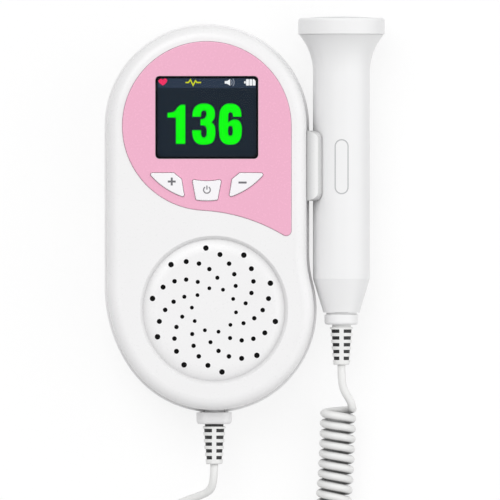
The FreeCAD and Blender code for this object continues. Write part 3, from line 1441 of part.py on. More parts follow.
fill_sheet()
front_housing()
rear_housing()
battery_door()
front_panel()
display_window()
lcd_parts()
keys_and_switches()
main_circuit_board()
board_chips()
speaker()
headphone_jack()
battery_parts()
screws()
unit_gland()
strain_relief("unit_boot", "gland_x", f"{UNIT_END} - gland_length", "parting")
cord()
probe_head()
probe_window()
probe_crystals()
probe_handle()
probe_circuit_board()
probe_collar()
strain_relief("probe_boot", PROBE_X, "probe_face_y - collar_start - collar_length", "probe_z")
probe_clip()
check_document()
export()
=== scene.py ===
import bpy
import bmesh
import json
import math
from mathutils import Matrix, Vector


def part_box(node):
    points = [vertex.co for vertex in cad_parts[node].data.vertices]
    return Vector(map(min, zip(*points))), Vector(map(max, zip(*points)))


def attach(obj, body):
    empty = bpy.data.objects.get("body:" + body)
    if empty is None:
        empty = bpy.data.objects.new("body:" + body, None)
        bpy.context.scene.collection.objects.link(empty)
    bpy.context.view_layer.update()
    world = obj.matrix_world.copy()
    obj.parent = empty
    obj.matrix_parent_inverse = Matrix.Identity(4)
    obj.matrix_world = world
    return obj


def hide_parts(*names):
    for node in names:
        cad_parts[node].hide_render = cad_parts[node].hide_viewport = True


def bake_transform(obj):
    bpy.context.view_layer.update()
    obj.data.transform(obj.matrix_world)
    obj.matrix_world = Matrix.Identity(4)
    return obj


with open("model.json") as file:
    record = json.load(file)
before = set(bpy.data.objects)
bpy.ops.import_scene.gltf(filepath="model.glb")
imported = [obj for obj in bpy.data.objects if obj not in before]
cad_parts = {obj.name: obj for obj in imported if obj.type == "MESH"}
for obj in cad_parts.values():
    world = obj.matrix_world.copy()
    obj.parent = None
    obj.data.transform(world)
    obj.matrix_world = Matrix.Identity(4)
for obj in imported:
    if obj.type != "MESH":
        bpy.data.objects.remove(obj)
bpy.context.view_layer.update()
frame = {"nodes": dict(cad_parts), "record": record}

# Sizes are in millimetres, in the model's own frame: X right, Y up in the picture, Z to the viewer.
MM = 0.001

# Meshes: the distance at which two points become one, the steps of a smooth outline from one point to
# the next and of a rounded corner, and the least cosine counted where a widened line bends.
WELD = 0.001
OUTLINE_STEPS = 8
CORNER_STEPS = 5
BEND_LEAST = 0.5

# Camera: straight above the object, far enough away to show almost no perspective.
VIEW_CENTRE = (14.8, -42.5)
VIEW_WIDTH = 171.5
VIEW_LEVEL = 20.0
VIEW_DISTANCE = 6000.0
VIEW_CLIP = (50.0, 60000.0)
SENSOR = 36.0

# Cord. The routes' points are the control points of its NURBS splines.
CORD_DIAMETER = 2.8
COIL_RADIUS = 4.87
COIL_TURNS = 32.25
POINTS_PER_TURN = 24
POINTS_PER_SPAN = 16
RING_POINTS = 12
UNIT_LEAD_ROUTE = [
    (2.5, -116.0, 14.5),
    (2.5, -120.5, 14.5),
    (1.4, -125.2, 12.4),
    (-3.2, -127.25, 9.2),
    (-9.2, -129.25, 5.6),
    (-15.8, -133.25, 2.7),
    (-22.0, -139.6, 1.42),
    (-26.2, -147.2, 1.4),
    (-26.0, -155.4, 1.4),
    (-20.6, -161.2, 1.4),
    (-15.2, -165.2, 1.4),
    (-13.66, -169.4, 1.42),
    (-13.66, -172.95, 1.43),
]
CURLY_ROUTE = [
    (45.2, -96.95, 9.0),
    (44.6, -119.5, 6.6),
    (42.0, -142.0, 6.3),
    (28.64, -161.42, 6.3),
    (8.33, -172.21, 6.3),
    (-13.66, -172.95, 6.3),
]
PROBE_LEAD_ROUTE = [
    (46.2, -81.9, 15.3),
    (46.2, -86.0, 15.3),
    (46.8, -90.4, 14.9),
    (49.4, -94.4, 14.0),
    (50.07, -97.3, 12.6),
    (50.07, -97.08, 9.0),
]

# Strain reliefs: a taper between two radii, along an axis given by its X and Z.
BOOT_BASE = 4.0
BOOT_TIP = 2.85
BOOT_LENGTH = 13.75
UNIT_BOOT_AXIS = (2.5, 14.5)
UNIT_BOOT_START = -102.25
PROBE_AXIS = (46.2, 15.3)
PROBE_BOOT_START = -68.15

# Painted shade in their slots, black: the depths below the taper between which it sets in, how far
# below the start and above the tip it ends, and the length over which it fades out there.
SLOT_PAINTED_SHADE = (14, 14, 15)
SHADE_DEPTHS = (0.04, 0.22)
UNIT_NECK = -1.0
PROBE_NECK = 1.1
SHADE_TIP = 0.6
SHADE_FADE = 0.1

# Painted shade, soft, on the white pieces in their grooves: how near a surface has to be to shut another
# one in, and how dark that makes it.
SHADE_GREY = (48, 48, 50)
HOUSING_CREASES = (3.0, 0.62)
PROBE_CREASES = (2.0, 0.5)
CORD_CREASES = (8.0, 0.75)
CLIP_CREASES = (9.0, 1.0)
CREASE_SAMPLES = 12

# Clip: where across the unit the painted shade at its root starts and ends.
ROOT_START = 33.8
ROOT_END = 37.4
ROOT_DARKNESS = 0.5

# Plastic and metal: how fine the plastic's clouds of colour are, how far each roughness varies, and
# the metal's darker colour and its relief.
CLOUD_SCALE = 60.0
PLASTIC_ROUGHNESS = (0.88, 1.12)
METAL_ROUGHNESS = (0.7, 1.3)
METAL_SHADE = 0.82
METAL_RELIEF = 0.004

# The display's light: its strength, its rows of dots, and how dim it is between them.
SCREEN_GLOW = 1.25
SCREEN_ROWS = 1.4
SCREEN_DIM = 0.94
SCREEN_SURFACE = (0.002, 0.002, 0.0025, 1)

# A battery's sleeve: where along it each band starts, and its colour.
CELL_BANDS = [
    (0.0, (200, 202, 205)),
    (0.05, (28, 66, 138)),
    (0.42, (226, 228, 232)),
    (0.46, (28, 66, 138)),
    (0.95, (200, 202, 205)),
]

# Light: a broad lamp from the upper left, a weaker one from the right, and an even surround.
AMBIENT = 0.51
KEY_STRENGTH = 1.27
KEY_DIRECTION = (0.28, -0.55, -1.0)
KEY_SPREAD = 45.0
FILL_STRENGTH = 0.85
FILL_DIRECTION = (-1.0, 0.05, -0.8)
FILL_SPREAD = 70.0
FLOOR_BOUNCE = 0.75
FLOOR_GLOW = 0.80
FLOOR_HALF = 6000.0
FLOOR_SINK = 0.02


# Mesh helpers ------------------------------------------------------------------------------------


def add_object(name, mesh):
    thing = bpy.data.objects.new(name, mesh)
    bpy.context.scene.collection.objects.link(thing)
    return thing


def build_mesh(name, points, faces, smooth=True):
    """A mesh of points in millimetres, with its faces turned outwards."""
    mesh = bpy.data.meshes.new(name)
    mesh.from_pydata([Vector(p) * MM for p in points], [], faces)
    turn_outwards(mesh)
    mesh.polygons.foreach_set("use_smooth", [smooth] * len(mesh.polygons))
    return mesh


def turn_outwards(mesh):
    """Joins the mesh's doubled points and turns its faces outwards."""
    work = bmesh.new()
    work.from_mesh(mesh)
    bmesh.ops.remove_doubles(work, verts=work.verts, dist=WELD * MM)
    bmesh.ops.recalc_face_normals(work, faces=work.faces)
    work.to_mesh(mesh)
    work.free()


def flat_piece(name, loops, levels, body, material):
    """Adds a thin plate between two levels. The loops are closed outlines and, inside them, holes.

    A point (x, y) is on a smooth run of the outline, and (x, y, 1) is a sharp corner.
    """
    low, high = levels
    curve = bpy.data.curves.new(name, "CURVE")
    curve.dimensions = "2D"
    curve.fill_mode = "BOTH"
    curve.resolution_u = OUTLINE_STEPS
    curve.extrude = (high - low) / 2 * MM
    for loop in loops:
        add_loop(curve, loop)
    outline = bpy.data.objects.new(name, curve)
    mesh = bpy.data.meshes.new_from_object(outline)
    bpy.data.objects.remove(outline)
    mesh.transform(Matrix.Translation((0, 0, (low + high) / 2 * MM)))
    mesh.name = name
    mesh.materials.clear()
    mesh.materials.append(material)
    turn_outwards(mesh)
    piece = add_object(name, mesh)
    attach(piece, body)


def add_loop(curve, loop):
    spline = curve.splines.new("BEZIER")
    spline.bezier_points.add(len(loop) - 1)
    spline.use_cyclic_u = True
    for knot, place in zip(spline.bezier_points, loop):
        knot.co = (place[0] * MM, place[1] * MM, 0)
    for knot, place in zip(spline.bezier_points, loop):
        kind = "VECTOR" if len(place) == 3 else "AUTO"
        knot.handle_left_type = kind
        knot.handle_right_type = kind


def corners(points):
    """The same points, all sharp."""
    return [(x, y, 1) for x, y in points]


def sharp_box(low_x, low_y, high_x, high_y):
    """A rectangle's outline."""
    return corners([(low_x, low_y), (high_x, low_y), (high_x, high_y), (low_x, high_y)])


def rounded_box(low_x, low_y, high_x, high_y, radius):
    """A rectangle's outline with rounded corners."""
    middles = [
        (high_x - radius, high_y - radius, 0),
        (low_x + radius, high_y - radius, 90),
        (low_x + radius, low_y + radius, 180),
        (high_x - radius, low_y + radius, 270),
    ]
    loop = []
    for x, y, first in middles:
        loop += arc_points(x, y, radius, first, first + 90, CORNER_STEPS)
    return corners(loop)


def arc_points(x, y, radius, first, last, steps):
    """Points along an arc from a first to a last angle, in degrees."""
    angles = [math.radians(first + (last - first) * i / steps) for i in range(steps + 1)]
    return [(x + radius * math.cos(a), y + radius * math.sin(a)) for a in angles]


def stroke(points, width):
    """The outline of a line of even width along some points."""
    left, right = [], []
    for i, place in enumerate(points):
        here = Vector(place)
        before = (here - Vector(points[i - 1])).normalized() if i else None
        after = (Vector(points[i + 1]) - here).normalized() if i + 1 < len(points) else None
        heading = ((before or after) + (after or before)).normalized()
        side = Vector((-heading.y, heading.x))
        stretch = 1 / max(BEND_LEAST, heading.dot(after or before))
        offset = side * width / 2 * stretch
        left.append(tuple(here + offset))
        right.append(tuple(here - offset))
    return corners(left + right[::-1])


# Camera and cord ---------------------------------------------------------------------------------


def add_camera():
    lens = bpy.data.cameras.new("camera")
    lens.sensor_fit = "HORIZONTAL"
    lens.sensor_width = SENSOR
    lens.lens = SENSOR * VIEW_DISTANCE / VIEW_WIDTH
    lens.clip_start, lens.clip_end = [distance * MM for distance in VIEW_CLIP]
    camera = bpy.data.objects.new("camera", lens)
    x, y = VIEW_CENTRE
    camera.location = Vector((x, y, VIEW_LEVEL + VIEW_DISTANCE)) * MM
    bpy.context.scene.collection.objects.link(camera)
    bpy.context.scene.camera = camera


def route_points(route):
    """Points in millimetres read from the NURBS spline of a route."""
    curve = bpy.data.curves.new("route", "CURVE")
    curve.dimensions = "3D"
    curve.resolution_u = POINTS_PER_SPAN
    spline = curve.splines.new("NURBS")
    spline.points.add(len(route) - 1)
    for knot, place in zip(spline.points, route):
        knot.co = (*(Vector(place) * MM), 1)
    spline.order_u = 3
    spline.use_endpoint_u = True
    holder = bpy.data.objects.new("route", curve)
    mesh = bpy.data.meshes.new_from_object(holder)
    points = [vertex.co / MM for vertex in mesh.vertices]
    bpy.data.objects.remove(holder)
    bpy.data.meshes.remove(mesh)
    return points


def travel(points):
    """How far along the line each of its points is."""
    distances = [0.0]
    for before, after in zip(points, points[1:]):
        distances.append(distances[-1] + (after - before).length)
    return distances


def spread_evenly(points, count):
    """The same line as count equal steps."""
    distances = travel(points)
    result = []
    i = 0
    for step in range(count + 1):
        wanted = distances[-1] * step / count
        while i < len(points) - 2 and distances[i + 1] < wanted:
            i += 1
        share = (wanted - distances[i]) / (distances[i + 1] - distances[i])
        result.append(points[i].lerp(points[i + 1], share))
    return result


def curly_points():
    """The helix round the curly part's line, upright, from its right side to its underside."""
    count = round(COIL_TURNS * POINTS_PER_TURN)
    axis = spread_evenly(route_points(CURLY_ROUTE), count)
    upright = Vector((0, 0, 1))
    helix = []
    for i, centre in enumerate(axis):
        heading = axis[min(i + 1, count)] - axis[max(i - 1, 0)]
        side = upright.cross(heading).normalized()
        turn = -2 * math.pi * i / POINTS_PER_TURN
        helix.append(centre + COIL_RADIUS * (math.cos(turn) * side + math.sin(turn) * upright))
    return helix


def cord_points():
    """The whole cord's centreline, from the unit to the probe."""
    unit_lead = route_points(UNIT_LEAD_ROUTE)
    probe_lead = route_points(PROBE_LEAD_ROUTE)
    helix = curly_points()
    return unit_lead + helix[-2::-1] + probe_lead[-2::-1]


def tube_mesh(name, line, radius):
    """A round tube along a line of points, closed at both ends."""
    ring = RING_POINTS
    points, faces = [], []
    side = (line[1] - line[0]).orthogonal().normalized()
    for i, centre in enumerate(line):
        heading = (line[min(i + 1, len(line) - 1)] - line[max(i - 1, 0)]).normalized()
        side = (side - heading * side.dot(heading)).normalized()
        other = heading.cross(side)
        for j in range(ring):
            angle = 2 * math.pi * j / ring
            points.append(centre + radius * (math.cos(angle) * side + math.sin(angle) * other))
    for i in range(len(line) - 1):
        for j in range(ring):
            a, b = i * ring + j, i * ring + (j + 1) % ring
            faces.append((a, b, b + ring, a + ring))
    faces.append(tuple(range(ring)))
    faces.append(tuple(range(len(points) - ring, len(points))))
    return build_mesh(name, points, faces)


def add_cord(material):
    line = cord_points()
    cord = add_object("cord", tube_mesh("cord", line, CORD_DIAMETER / 2))
    cord.data.materials.append(material)
    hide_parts("unit_lead", "curly_cord", "probe_lead")
    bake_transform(cord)


# Shader helpers ----------------------------------------------------------------------------------


def rgb(red, green, blue):
    """A colour written as 0 to 255 in sRGB, for a shader."""
    values = [v / 255 for v in (red, green, blue)]
    linear = [v / 12.92 if v <= 0.04045 else ((v + 0.055) / 1.055) ** 2.4 for v in values]
    return (*linear, 1.0)


def shade(colour, factor):
    """The same colour, darker."""
    return tuple(min(1.0, part * factor) for part in colour[:3]) + (1.0,)


def new_material(name):
    """A new material, its nodes and its shader."""
    material = bpy.data.materials.new(name)
    material.use_nodes = True
    tree = material.node_tree
    return material, tree, tree.nodes["Principled BSDF"]


def colour_source(material):
    """A finished material's nodes, its shader, and the socket that its colour comes from."""
    tree = material.node_tree
    shader = tree.nodes["Principled BSDF"]
    return tree, shader, shader.inputs["Base Color"].links[0].from_socket


def add_node(tree, kind, values=(), **settings):
    node = tree.nodes.new(kind)
    for name, value in settings.items():
        setattr(node, name, value)
    for name, value in dict(values).items():
        node.inputs[name].default_value = value
    return node


def combine(tree, operation, first, second):
    """Two values put together by an operation of the Math node."""
    node = add_node(tree, "ShaderNodeMath", operation=operation)
    tree.links.new(first, node.inputs[0])
    tree.links.new(second, node.inputs[1])
    return node.outputs["Value"]


def place_in_object(tree, stretch=(1, 1, 1)):
    """Coordinates in metres in the model's frame, stretched along its axes."""
    source = add_node(tree, "ShaderNodeTexCoord")
    mapping = add_node(tree, "ShaderNodeMapping", {"Scale": stretch})
    tree.links.new(source.outputs["Object"], mapping.inputs["Vector"])
    return mapping.outputs["Vector"]


def split_place(tree):
    """The same coordinates as sockets X, Y and Z."""
    split = add_node(tree, "ShaderNodeSeparateXYZ")
    tree.links.new(place_in_object(tree), split.inputs["Vector"])
    return split.outputs


def noise(tree, scale, detail, stretch=(1, 1, 1)):
    node = add_node(tree, "ShaderNodeTexNoise", {"Scale": scale, "Detail": detail})
    tree.links.new(place_in_object(tree, stretch), node.inputs["Vector"])
    return node.outputs["Fac"]


def waves(tree, scale, direction):
    """Even waves along an axis."""
    values = {"Scale": scale / MM}
    node = add_node(tree, "ShaderNodeTexWave", values, bands_direction=direction, wave_profile="SIN")
    tree.links.new(place_in_object(tree), node.inputs["Vector"])
    return node.outputs["Fac"]


def spread(tree, value, low, high, start=0.3, end=0.7):
    """A value from start to end turned into one from low to high."""
    limits = {"From Min": start, "From Max": end, "To Min": low, "To Max": high}
    node = add_node(tree, "ShaderNodeMapRange", limits)
    tree.links.new(value, node.inputs["Value"])
    return node.outputs["Result"]


def mix_colours(tree, factor, first, second):
    """first where the factor is 0, second where it is 1. Either is a colour or a socket."""
    node = add_node(tree, "ShaderNodeMix", data_type="RGBA")
    tree.links.new(factor, node.inputs[0])
    for socket, colour in ((node.inputs[6], first), (node.inputs[7], second)):
        if isinstance(colour, tuple):
            socket.default_value = colour
        else:
            tree.links.new(colour, socket)
    return node.outputs[2]


def paint(tree, shader, factor, first, second):
    """Gives the shader a mix of two colours."""
    tree.links.new(mix_colours(tree, factor, first, second), shader.inputs["Base Color"])


def roughen(tree, shader, pattern, low, high):
    """Gives the shader a roughness that varies with a pattern."""
    tree.links.new(spread(tree, pattern, low, high), shader.inputs["Roughness"])


def bump(tree, shader, height, depth):
    """Relief of a depth in millimetres on the shader."""
    node = add_node(tree, "ShaderNodeBump", {"Strength": 1.0, "Distance": depth * MM})
    tree.links.new(height, node.inputs["Height"])
    tree.links.new(node.outputs["Normal"], shader.inputs["Normal"])


# Materials ---------------------------------------------------------------------------------------


def moulded(name, colour, roughness, mottle=0.015, grain=0.7, depth=0.0025, specular=0.5):
    """Moulded plastic: faintly uneven colour, and the fine grain of its mould."""
    material, tree, shader = new_material(name)
    cloudy = spread(tree, noise(tree, CLOUD_SCALE, detail=3.0), 0.0, 1.0)
    paint(tree, shader, cloudy, shade(colour, 1 - mottle), colour)
    fine = noise(tree, 1 / (grain * MM), detail=3.0)
    roughen(tree, shader, fine, *[roughness * share for share in PLASTIC_ROUGHNESS])
    shader.inputs["Specular IOR Level"].default_value = specular
    bump(tree, shader, fine, depth)
    return material


def with_painted_crease_shade(material, creases, alone=True):
    """The same material with painted shade: darker where its surface is shut in, by itself alone or by
    others too.
    """
    tree, shader, plain = colour_source(material)
    reach, darkness = creases
    values = {"Distance": reach * MM}
    settings = {"samples": CREASE_SAMPLES, "only_local": alone}
    shut_in = add_node(tree, "ShaderNodeAmbientOcclusion", values, **settings)
    factor = spread(tree, shut_in.outputs["AO"], darkness, 0.0, start=0.0, end=1.0)
    paint(tree, shader, factor, plain, rgb(*SHADE_GREY))
    return material


def with_painted_root_shade(material):
    """The same material with painted shade, darker towards the housing that the clip grows out of."""
    tree, shader, plain = colour_source(material)
    across = split_place(tree)["X"]
    factor = spread(tree, across, ROOT_DARKNESS, 0.0, ROOT_START * MM, ROOT_END * MM)
    paint(tree, shader, factor, plain, rgb(*SHADE_GREY))
    return material


def boot(name, axis, start, neck):
    """Soft plastic, with painted shade: black below the tapered surface of a strain relief, in its slots.
    """
    material = moulded(name, rgb(236, 236, 235), 0.5, grain=0.6)
    tree, shader, plain = colour_source(material)
    along = split_place(tree)["Y"]
    end = start - BOOT_LENGTH
    surface = spread(tree, along, BOOT_TIP * MM, BOOT_BASE * MM, end * MM, start * MM)
    away = add_node(tree, "ShaderNodeVectorMath", operation="DISTANCE")
    tree.links.new(place_in_object(tree, (1, 0, 1)), away.inputs[0])
    away.inputs[1].default_value = (axis[0] * MM, 0, axis[1] * MM)
    depth = combine(tree, "SUBTRACT", surface, away.outputs["Value"])
    shallow, deep = SHADE_DEPTHS
    inside = spread(tree, depth, 0.0, 1.0, shallow * MM, deep * MM)
    low, high = end + SHADE_TIP, start - neck
    above = spread(tree, along, 0.0, 1.0, low * MM, (low + SHADE_FADE) * MM)
    below = spread(tree, along, 1.0, 0.0, high * MM, (high + SHADE_FADE) * MM)
    # The painted shade: black where the surface lies below the taper, between the tip and the neck.
    black = combine(tree, "MULTIPLY", combine(tree, "MULTIPLY", inside, above), below)
    paint(tree, shader, black, plain, rgb(*SLOT_PAINTED_SHADE))
    return material


def metal(name, colour, roughness, stretch=(1, 1, 1), scale=900.0):
    """Bare or plated metal with a drawn or tumbled surface."""
    material, tree, shader = new_material(name)
    shader.inputs["Metallic"].default_value = 1.0
    streaks = noise(tree, scale, detail=4.0, stretch=stretch)
    paint(tree, shader, spread(tree, streaks, 0.0, 1.0), shade(colour, METAL_SHADE), colour)
    roughen(tree, shader, streaks, *[roughness * share for share in METAL_ROUGHNESS])
    bump(tree, shader, streaks, METAL_RELIEF)
    return material


def lit(name, colour):
    """A lit area of the display: light from behind through fine rows of dots."""
    material, tree, shader = new_material(name)
    shader.inputs["Base Color"].default_value = SCREEN_SURFACE
    shader.inputs["Roughness"].default_value = 0.5
    shader.inputs["Specular IOR Level"].default_value = 0.03
    rows = waves(tree, SCREEN_ROWS, "Y")
    glow = mix_colours(tree, rows, shade(colour, SCREEN_DIM), colour)
    tree.links.new(glow, shader.inputs["Emission Color"])
    shader.inputs["Emission Strength"].default_value = SCREEN_GLOW
    return material


def add_window_material():
    """Clear acrylic: a faint film of reflection over the display."""
    material, tree, shader = new_material("window_dark")
    fine = noise(tree, scale=300.0, detail=2.0)
    paint(tree, shader, spread(tree, fine, 0.0, 1.0), rgb(18, 20, 24), rgb(22, 25, 30))
    roughen(tree, shader, fine, low=0.01, high=0.02)
    shader.inputs["Alpha"].default_value = 0.12
    shader.inputs["Specular IOR Level"].default_value = 0.25
    return material


def add_foam_material():
    """Black foam: small open pores."""
    material, tree, shader = new_material("foam_black")
    cells = add_node(tree, "ShaderNodeTexVoronoi", {"Scale": 2.2 / MM})
    tree.links.new(place_in_object(tree), cells.inputs["Vector"])
    pores = spread(tree, cells.outputs["Distance"], 0.0, 1.0, start=0.1, end=0.6)
    paint(tree, shader, pores, rgb(14, 14, 15), rgb(48, 48, 50))
    shader.inputs["Roughness"].default_value = 0.95
    bump(tree, shader, pores, depth=0.12)
    return material


def add_tape_material():
    """White tape: the fine weave of its backing."""
    material, tree, shader = new_material("tape_white")
    weave = noise(tree, scale=1500.0, detail=4.0, stretch=(1, 6, 1))
    paint(tree, shader, spread(tree, weave, 0.0, 1.0), rgb(214, 212, 204), rgb(236, 235, 229))
    shader.inputs["Roughness"].default_value = 0.6
    bump(tree, shader, weave, depth=0.01)
    return material


def add_board_material():
    """Green solder mask over copper tracks."""
    material, tree, shader = new_material("board_green")
    values = {"Scale": 0.55 / MM, "Mortar Size": 0.06, "Mortar Smooth": 0.2}
    tracks = add_node(tree, "ShaderNodeTexBrick", values, offset=0.37, squash=0.6)
    tree.links.new(place_in_object(tree), tracks.inputs["Vector"])
    patches = noise(tree, scale=350.0, detail=2.0)
    broken = spread(tree, patches, 0.0, 1.0, start=0.45, end=0.5)
    copper = combine(tree, "MULTIPLY", tracks.outputs["Fac"], broken)
    paint(tree, shader, copper, rgb(14, 82, 46), rgb(40, 124, 66))
    shader.inputs["Roughness"].default_value = 0.3
    shader.inputs["Coat Weight"].default_value = 0.3
    bump(tree, shader, copper, depth=0.03)
    return material


def add_cone_material():
    """Pressed paper: short fibres lying every way."""
    material, tree, shader = new_material("speaker_paper")
    fibres = noise(tree, scale=2500.0, detail=6.0)
    paint(tree, shader, spread(tree, fibres, 0.0, 1.0), rgb(26, 25, 25), rgb(52, 50, 48))
    shader.inputs["Roughness"].default_value = 0.9
    bump(tree, shader, fibres, depth=0.05)
    return material


def add_mesh_material():
    """Woven black cloth over the loudspeaker."""
    material, tree, shader = new_material("mesh_black")
    warp, weft = [waves(tree, scale=0.9, direction=axis) for axis in "XY"]
    threads = combine(tree, "MULTIPLY", warp, weft)
    paint(tree, shader, threads, rgb(6, 6, 7), rgb(24, 24, 26))
    shader.inputs["Roughness"].default_value = 0.85
    bump(tree, shader, threads, depth=0.08)
    return material


def add_cell_material():
    """A battery's printed sleeve: dark, with a bright band and a pale ring at each end."""
    material, tree, shader = new_material("cell_blue")
    ramp = add_node(tree, "ShaderNodeValToRGB")
    ramp.color_ramp.interpolation = "CONSTANT"
    elements = ramp.color_ramp.elements
    while len(elements) < len(CELL_BANDS):
        elements.new(0.5)
    for element, (position, colour) in zip(elements, CELL_BANDS):
        element.position = position
        element.color = rgb(*colour)
    low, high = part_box("left_battery_cell")
    along = spread(tree, split_place(tree)["Y"], 0.0, 1.0, low.y, high.y)
    tree.links.new(along, ramp.inputs["Fac"])
    scuffs = spread(tree, noise(tree, scale=500.0, detail=4.0), 0.0, 0.12)
    paint(tree, shader, scuffs, ramp.outputs["Color"], rgb(150, 155, 165))
    shader.inputs["Roughness"].default_value = 0.28
    shader.inputs["Metallic"].default_value = 0.35
    bump(tree, shader, noise(tree, scale=200.0, detail=2.0), depth=0.01)
    return material


def add_materials():
    """One material for each slot of the record."""
    housing = moulded("housing_white", rgb(239, 238.5, 239), 0.30)
    probe = moulded("probe_white", rgb(238, 238, 238.5), 0.33, grain=0.9)
    cord = moulded("cord_white", rgb(236, 236, 235), 0.46, grain=0.6, depth=0.012)
    return {
        # The housing, the probe and the cord get painted shade in their grooves.
        "housing_white": with_painted_crease_shade(housing, HOUSING_CREASES),
        "probe_white": with_painted_crease_shade(probe, PROBE_CREASES),
        "key_white": moulded("key_white", rgb(243, 241, 244), 0.38, grain=0.5, depth=0.01),
        "panel_pink": moulded("panel_pink", rgb(237, 174, 200), 0.26, mottle=0.008, depth=0.0008),
        "cord_white": with_painted_crease_shade(cord, CORD_CREASES),
        "acoustic_grey": moulded("acoustic_grey", rgb(196, 198, 200), 0.55, grain=0.4, depth=0.01),
        "window_dark": add_window_material(),
        "foam_black": add_foam_material(),
        "lcd_metal": metal("lcd_metal", rgb(176, 178, 182), 0.34, (1, 12, 1)),
        "tape_white": add_tape_material(),
        "board_green": add_board_material(),
        "chip_black": moulded("chip_black", rgb(30, 30, 32), 0.62, grain=0.12, depth=0.012),
        "screw_steel": metal("screw_steel", rgb(168, 169, 172), 0.26, scale=2500.0),
        "spring_steel": metal("spring_steel", rgb(190, 190, 188), 0.24, scale=1800.0),
        "speaker_steel": metal("speaker_steel", rgb(158, 160, 160), 0.36, scale=700.0),
        "speaker_paper": add_cone_material(),
        "mesh_black": add_mesh_material(),
        "magnet_dark": moulded("magnet_dark", rgb(44, 44, 46), 0.7, mottle=0.15, grain=0.2, depth=0.02),
        "cell_blue": add_cell_material(),
        "jack_black": moulded("jack_black", rgb(24, 24, 26), 0.42, grain=0.3),
        "crystal_ceramic": moulded("crystal_ceramic", rgb(208, 196, 170), 0.5, mottle=0.1, grain=0.08),
        "backing_dark": moulded("backing_dark", rgb(60, 52, 46), 0.75, mottle=0.3, grain=0.3, depth=0.03),
    }


def dress_nodes(materials):
    """Gives every CAD node the material of its slot in the record, and the clip and boots their own."""
    clip = moulded("clip_white", rgb(238, 238, 238), 0.30)
    own = {
        # The clip gets painted shade where it and its neighbours shut it in, and painted shade at its
        # root.
        "probe_clip": with_painted_root_shade(with_painted_crease_shade(clip, CLIP_CREASES, alone=False)),
        # The boots get painted shade, black, in their slots.
        "unit_boot": boot("unit_boot_white", UNIT_BOOT_AXIS, UNIT_BOOT_START, UNIT_NECK),
        "probe_boot": boot("probe_boot_white", PROBE_AXIS, PROBE_BOOT_START, PROBE_NECK),
    }
    for entry in frame["record"]["subparts"]:
        name = entry["node"]
        node = frame["nodes"][name]
        node.data.materials.clear()
        node.data.materials.append(own.get(name) or materials[entry["material_slot"]])


# Display and symbols -----------------------------------------------------------------------------

# The levels of the lit picture, its marks, the shade round it and the window's border. Then the
# window's outline, and how the border, the shade and the status bar lie in it.
PICTURE_LEVELS = (25.42, 25.50)
ICON_LEVELS = (25.50, 25.56)
SHADE_LEVELS = (25.50, 27.81)
MASK_LEVELS = (27.81, 27.84)
WINDOW_BOX = (-17.6, -11.25, 17.6, 17.05)
WINDOW_CORNER = 1.4
MASK_WIDTH = 0.75
MASK_CORNER = 1.5
SHADE_INSETS = (0.715, 0.775)
STATUS_BAR_LOW = 13.05

# Outlines of the number and the marks.
DIGIT_ONE = [
    (-10.57, -6.12, 1), (-7.4, -6.12, 1), (-7.4, 7.25, 1), (-8.95, 7.25, 1), (-9.9, 6.5),
    (-11.1, 5.0), (-13.45, 4.45, 1), (-13.45, 2.9, 1), (-10.57, 2.9, 1),
]
DIGIT_THREE = [
    (-4.97, 3.19, 1), (-4.45, 5.75), (-3.16, 7.14), (-1.0, 7.66), (1.1, 7.25), (2.3, 6.12),
    (2.75, 4.32), (2.5, 2.52), (1.6, 1.26, 1), (2.5, 0.31), (2.87, -1.34), (2.77, -3.65),
    (2.05, -5.45), (0.6, -6.22), (-1.0, -6.38), (-2.9, -6.12), (-4.25, -4.94), (-4.86, -3.14),
    (-4.97, -1.49, 1), (-2.0, -1.49, 1), (-1.85, -3.3), (-1.0, -4.01), (-0.2, -3.4), (0.0, -2.2),
    (-0.2, -0.5), (-1.0, 0.2), (-2.15, 0.2, 1), (-2.15, 2.3, 1), (-1.0, 2.45),
    (-0.3, 3.2), (-0.1, 4.3), (-0.36, 5.1), (-1.0, 5.35), (-1.75, 4.9), (-2.05, 3.19, 1),
]
DIGIT_SIX = [
    (11.85, 3.19, 1), (11.5, 5.6), (10.5, 6.95), (8.1, 7.66), (6.1, 7.2), (4.8, 5.7), (4.3, 3.2),
    (4.3, -2.3), (4.8, -4.7), (6.1, -6.0), (8.1, -6.38), (10.2, -5.9), (11.5, -4.4),
    (11.95, -1.8), (11.8, 0.4), (11.0, 1.75), (9.7, 2.2), (8.5, 1.95), (7.3, 1.1, 1), (7.3, 3.2),
    (7.45, 4.3), (8.05, 4.7), (8.75, 4.4), (8.95, 3.8), (9.0, 3.19, 1),
]
SIX_HOLE = [
    (7.3, -0.9), (7.5, -0.2), (8.1, 0.05), (8.7, -0.2), (8.9, -0.95), (8.9, -2.5), (8.7, -3.15),
    (8.1, -3.4), (7.5, -3.15), (7.3, -2.5),
]
HEART = [
    (-15.1, 13.85, 1), (-16.2, 14.75), (-16.6, 15.6), (-15.95, 16.3), (-15.1, 15.85, 1),
    (-14.25, 16.3), (-13.6, 15.6), (-14.0, 14.75),
]
PULSE_MARK = [
    (-7.3, 14.9), (-6.3, 14.9), (-5.6, 15.85), (-4.7, 13.95), (-3.9, 15.5), (-3.4, 14.9),
    (-2.0, 14.9),
]
PULSE_LINE = 0.45
SPEAKER_MARK = [(6.15, 15.4), (6.15, 14.5), (6.9, 14.5), (8.0, 13.8), (8.0, 16.1), (6.9, 15.4)]
SOUND_CENTRE = (7.3, 14.95)
SOUND_RADII = (1.35, 2.05)
SOUND_ANGLE = 38
SOUND_STEPS = 8
SOUND_LINE = 0.28
BATTERY_BARS = [
    (12.8, 14.55, 13.35, 15.35, 0.2),
    (13.45, 13.85, 14.45, 16.05, 0.25),
    (14.6, 13.85, 15.55, 16.05, 0.25),
    (15.7, 13.85, 16.7, 16.05, 0.25),
]


